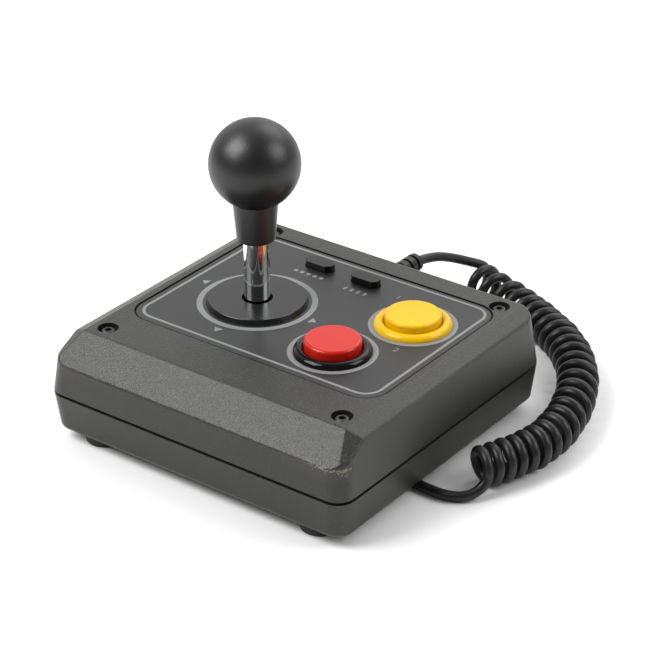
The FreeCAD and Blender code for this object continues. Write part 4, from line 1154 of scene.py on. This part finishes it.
@dataclass
class CurlyCord:
    """The cord: out of the sleeve, down to the table, round in a curly length and back to its plug.

    The points of its route are in millimetres. Each pitch is a share of the curly length, with the
    millimetres that one turn takes up there.
    """

    diameter: float = 4.5 * MM
    section_resolution: int = 4
    bend_resolution: int = 3
    helix_radius: float = 7.2 * MM
    helix_wobble: float = 0.02
    wobbles_per_turn: float = 0.37
    turns: int = 27
    start_angle: float = math.radians(36)
    leave_angle: float = math.radians(110)
    steps: int = 16
    route_resolution: int = 24
    length_resolution: int = 12
    pitches: tuple[tuple[float, float], ...] = (
        (0.0, 5.0), (0.03, 5.8), (0.06, 9.5), (0.12, 8.0), (0.2, 6.5), (0.32, 6.3),
        (0.5, 7.9), (0.65, 8.3), (0.8, 6.6), (0.9, 5.6), (1.0, 5.2),
    )
    lead: Route = (
        (-9.4, 101.5, 32.0),
        (-8.6, 112.0, 30.6),
        (-5.8, 122.0, 27.4),
        (-2.0, 131.2, 22.8),
    )
    coil: Route = (
        (2.4, 134.8, 13.0),
        (23.0, 132.3, 9.8),
        (45.0, 123.0, 9.7),
        (67.5, 110.3, 9.7),
        (85.5, 91.0, 9.7),
        (97.5, 67.0, 9.7),
        (103.5, 41.0, 9.7),
        (101.3, 19.0, 9.7),
        (92.5, 0.4, 9.7),
    )
    tail: Route = (
        (97.6, -6.5, 4.2),
        (94.0, -12.0, 2.3),
        (86.5, -15.4, 2.25),
        (77.0, -15.2, 2.25),
        (66.0, -14.4, 2.25),
        (51.0, -9.5, 2.25),
        (34.0, 6.0, 2.25),
        (20.5, 25.0, 2.25),
        (9.0, 46.0, 2.25),
        (-1.0, 67.5, 2.25),
        (-14.5, 85.0, 2.25),
        (-34.0, 91.5, 6.5),
    )

    @staticmethod
    def spline(name: str, points: Sequence[Vector]) -> Piece:
        """A smooth open curve with the points as its control points.

        Args:
            name: The curve's name.
            points: The control points.

        Returns:
            The curve, with no thickness yet.
        """
        curve = bpy.data.curves.new(name, "CURVE")
        curve.dimensions = "3D"
        line = curve.splines.new("NURBS")
        line.points.add(len(points) - 1)
        for point, place in zip(line.points, points):
            point.co = (*place, 1.0)
        line.order_u = 3
        line.use_endpoint_u = True
        piece = bpy.data.objects.new(name, curve)
        bpy.context.collection.objects.link(piece)
        return piece

    def traced(self, points: Sequence[Vector], resolution: int) -> list[Vector]:
        """Reads places along a smooth curve.

        Args:
            points: The curve's control points.
            resolution: How many places are read for each control point.

        Returns:
            The places, in order.
        """
        route = self.spline("route", points)
        route.data.resolution_u = resolution
        line = bpy.data.meshes.new_from_object(route)
        places = [vertex.co.copy() for vertex in line.vertices]
        bpy.data.objects.remove(route)
        bpy.data.meshes.remove(line)
        return places

    def pitch(self, share: float) -> float:
        """How much of the route one turn takes up.

        Args:
            share: How far along the route it is, from 0 to 1.

        Returns:
            The length, in millimetres.
        """
        for (start, first), (end, last) in zip(self.pitches, self.pitches[1:]):
            if share <= end:
                return first + (last - first) * (share - start) / (end - start)
        return self.pitches[-1][1]

    def helix(self) -> list[Vector]:
        """The turns round the curly length, some closer together than others.

        Returns:
            The control points of the turns.
        """
        places = self.traced([Vector(p) * MM for p in self.coil], self.route_resolution)
        runs = [0.0]
        for a, b in zip(places, places[1:]):
            runs.append(runs[-1] + (b - a).length)
        wound = [0.0]
        for a, b in zip(runs, runs[1:]):
            wound.append(wound[-1] + (b - a) / self.pitch((a + b) / 2 / runs[-1]))
        over = (self.leave_angle - self.start_angle) / (2 * math.pi)
        whole = round((self.turns + over) * self.steps)
        points = []
        part = 0
        for n in range(whole + 1):
            reached = wound[-1] * n / whole
            while part < len(wound) - 2 and wound[part + 1] < reached:
                part += 1
            share = (reached - wound[part]) / (wound[part + 1] - wound[part])
            middle = places[part].lerp(places[part + 1], share)
            way = (places[part + 1] - places[part]).normalized()
            left = Vector((-way.y, way.x, 0)).normalized()
            angle = self.start_angle + 2 * math.pi * n / self.steps
            sway = math.sin(self.wobbles_per_turn * n / self.steps * 2 * math.pi)
            radius = self.helix_radius * (1 + self.helix_wobble * sway)
            points.append(middle + radius * (math.sin(angle) * left + math.cos(angle) * Vector((0, 0, 1))))
        return points

    def build(self) -> None:
        lead, tail = ([Vector(p) * MM for p in stretch] for stretch in (self.lead, self.tail))
        points = lead + self.helix() + tail
        cord = self.spline("cord", points)
        cord.data.bevel_depth = self.diameter / 2
        cord.data.bevel_resolution = self.section_resolution
        cord.data.resolution_u = self.bend_resolution
        cord.data.use_fill_caps = True
        settle(cord, "cord", JACKET)
        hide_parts("cord_lead", "cord_coil", "cord_tail")
        ends = ("strain_relief", "plug_boot", "plug_body", "plug_shell")
        dress(JACKET, ends[:2])
        dress(SATIN_BLACK, ends[2:3])
        dress(STEEL, ends[3:])
        insert = PlugInsert().build()
        places = self.traced(points, self.length_resolution)
        [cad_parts[name] for name in ends] + [insert]


@dataclass(frozen=True)
class Lamp:
    """A soft square lamp: its name, the way from the object to it, its side and its power in watts."""

    name: str
    way: Triple
    size: float
    watts: float


@dataclass
class Studio:
    """The floor, the lamps, the surrounding light and the camera."""

    focal: float = 130.1
    sensor: float = 36.0
    nearest: float = 0.05
    camera_place: Triple = (0.5308, -0.69025, 0.5199)
    camera_tilt: float = math.radians(90 - 28.53)
    camera_turn: float = math.radians(36.79)
    camera_roll: float = math.radians(-0.235)
    floor_size: float = 12.0
    floor_grey: float = 0.9
    lamp_distance: float = 1.3
    lamp_aim: float = 0.05
    lamps: tuple[Lamp, ...] = (
        Lamp("key_lamp", (-0.43, -0.52, 0.74), 0.80, 18.6),
        Lamp("side_lamp", (0.71, 0.36, 0.60), 0.72, 7.8),
        Lamp("back_lamp", (0.0, 0.70, 0.71), 0.8, 4.0),
    )
    bright_way: Triple = (-0.53, 0.70, 0.48)
    bright_span: tuple[float, float] = (0.15, 0.95)
    room_strength: tuple[float, float] = (0.24, 1.40)

    def camera(self) -> None:
        """Stands the camera where the photograph was taken."""
        data = bpy.data.cameras.new("camera")
        data.sensor_width = self.sensor
        data.lens = self.focal
        data.clip_start = self.nearest
        camera = bpy.data.objects.new("camera", data)
        bpy.context.collection.objects.link(camera)
        aim = Euler((self.camera_tilt, 0, self.camera_turn)).to_matrix()
        turn = aim @ Matrix.Rotation(self.camera_roll, 3, "Z")
        camera.matrix_world = Matrix.Translation(self.camera_place) @ turn.to_4x4()
        bpy.context.scene.camera = camera

    def floor(self) -> None:
        """Lays the pale floor."""
        Modelling.begin()
        bpy.ops.mesh.primitive_plane_add(size=self.floor_size, location=(0, 0, 0))
        floor = bpy.context.object
        floor.name = "floor"
        bench = Bench("pale_floor")
        grey = (self.floor_grey, self.floor_grey, self.floor_grey)
        bench.surface({"Base Color": grey, "Roughness": 0.9, "Specular IOR Level": 0.1})
        floor.data.materials.append(bench.material)

    def hang(self, lamp: Lamp) -> None:
        """Hangs a lamp so that it faces the object.

        Args:
            lamp: The lamp.
        """
        data = bpy.data.lights.new(lamp.name, "AREA")
        data.size = lamp.size
        data.energy = lamp.watts
        light = bpy.data.objects.new(lamp.name, data)
        bpy.context.collection.objects.link(light)
        direction = Vector(lamp.way).normalized()
        light.location = direction * self.lamp_distance + Vector((0, 0, self.lamp_aim))
        light.rotation_euler = direction.to_track_quat("Z", "Y").to_euler()

    def surround(self) -> None:
        """Lights the room: bright behind the object, dimmer behind the camera."""
        world = bpy.data.worlds.new("studio")
        bpy.context.scene.world = world
        world.use_nodes = True
        tree = world.node_tree
        tree.nodes.clear()
        where = tree.nodes.new("ShaderNodeTexCoord")
        facing = tree.nodes.new("ShaderNodeVectorMath")
        facing.operation = "DOT_PRODUCT"
        facing.inputs[1].default_value = Vector(self.bright_way).normalized()
        span = tree.nodes.new("ShaderNodeMapRange")
        span.interpolation_type = "SMOOTHSTEP"
        for end, limits in (("From", self.bright_span), ("To", self.room_strength)):
            for limit, value in zip(("Min", "Max"), limits):
                span.inputs[f"{end} {limit}"].default_value = value
        light = tree.nodes.new("ShaderNodeBackground")
        output = tree.nodes.new("ShaderNodeOutputWorld")
        tree.links.new(where.outputs["Generated"], facing.inputs[0])
        tree.links.new(facing.outputs["Value"], span.inputs["Value"])
        tree.links.new(span.outputs[0], light.inputs["Strength"])
        tree.links.new(light.outputs[0], output.inputs[0])

    def build(self) -> None:
        """Sets up the whole studio."""
        self.camera()
        self.floor()
        for lamp in self.lamps:
            self.hang(lamp)
        self.surround()
        bpy.context.scene.view_settings.view_transform = "Standard"
        LOG.info("studio is set")


def main() -> None:
    """Builds the studio and every sub-assembly."""
    logging.basicConfig(level=logging.INFO, format="%(name)s: %(message)s")
    for part in (Studio(), CurlyCord(), Case(), PanelPrint(), Lever(), PushButtons(), KeysAndBoards()):
        part.build()


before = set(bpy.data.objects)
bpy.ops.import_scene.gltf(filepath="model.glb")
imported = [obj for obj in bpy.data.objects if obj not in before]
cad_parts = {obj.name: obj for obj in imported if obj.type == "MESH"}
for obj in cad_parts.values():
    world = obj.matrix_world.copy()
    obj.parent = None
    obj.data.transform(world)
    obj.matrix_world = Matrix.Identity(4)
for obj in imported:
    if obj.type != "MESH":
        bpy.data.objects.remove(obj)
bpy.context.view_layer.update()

if __name__ == "__main__":
    main()
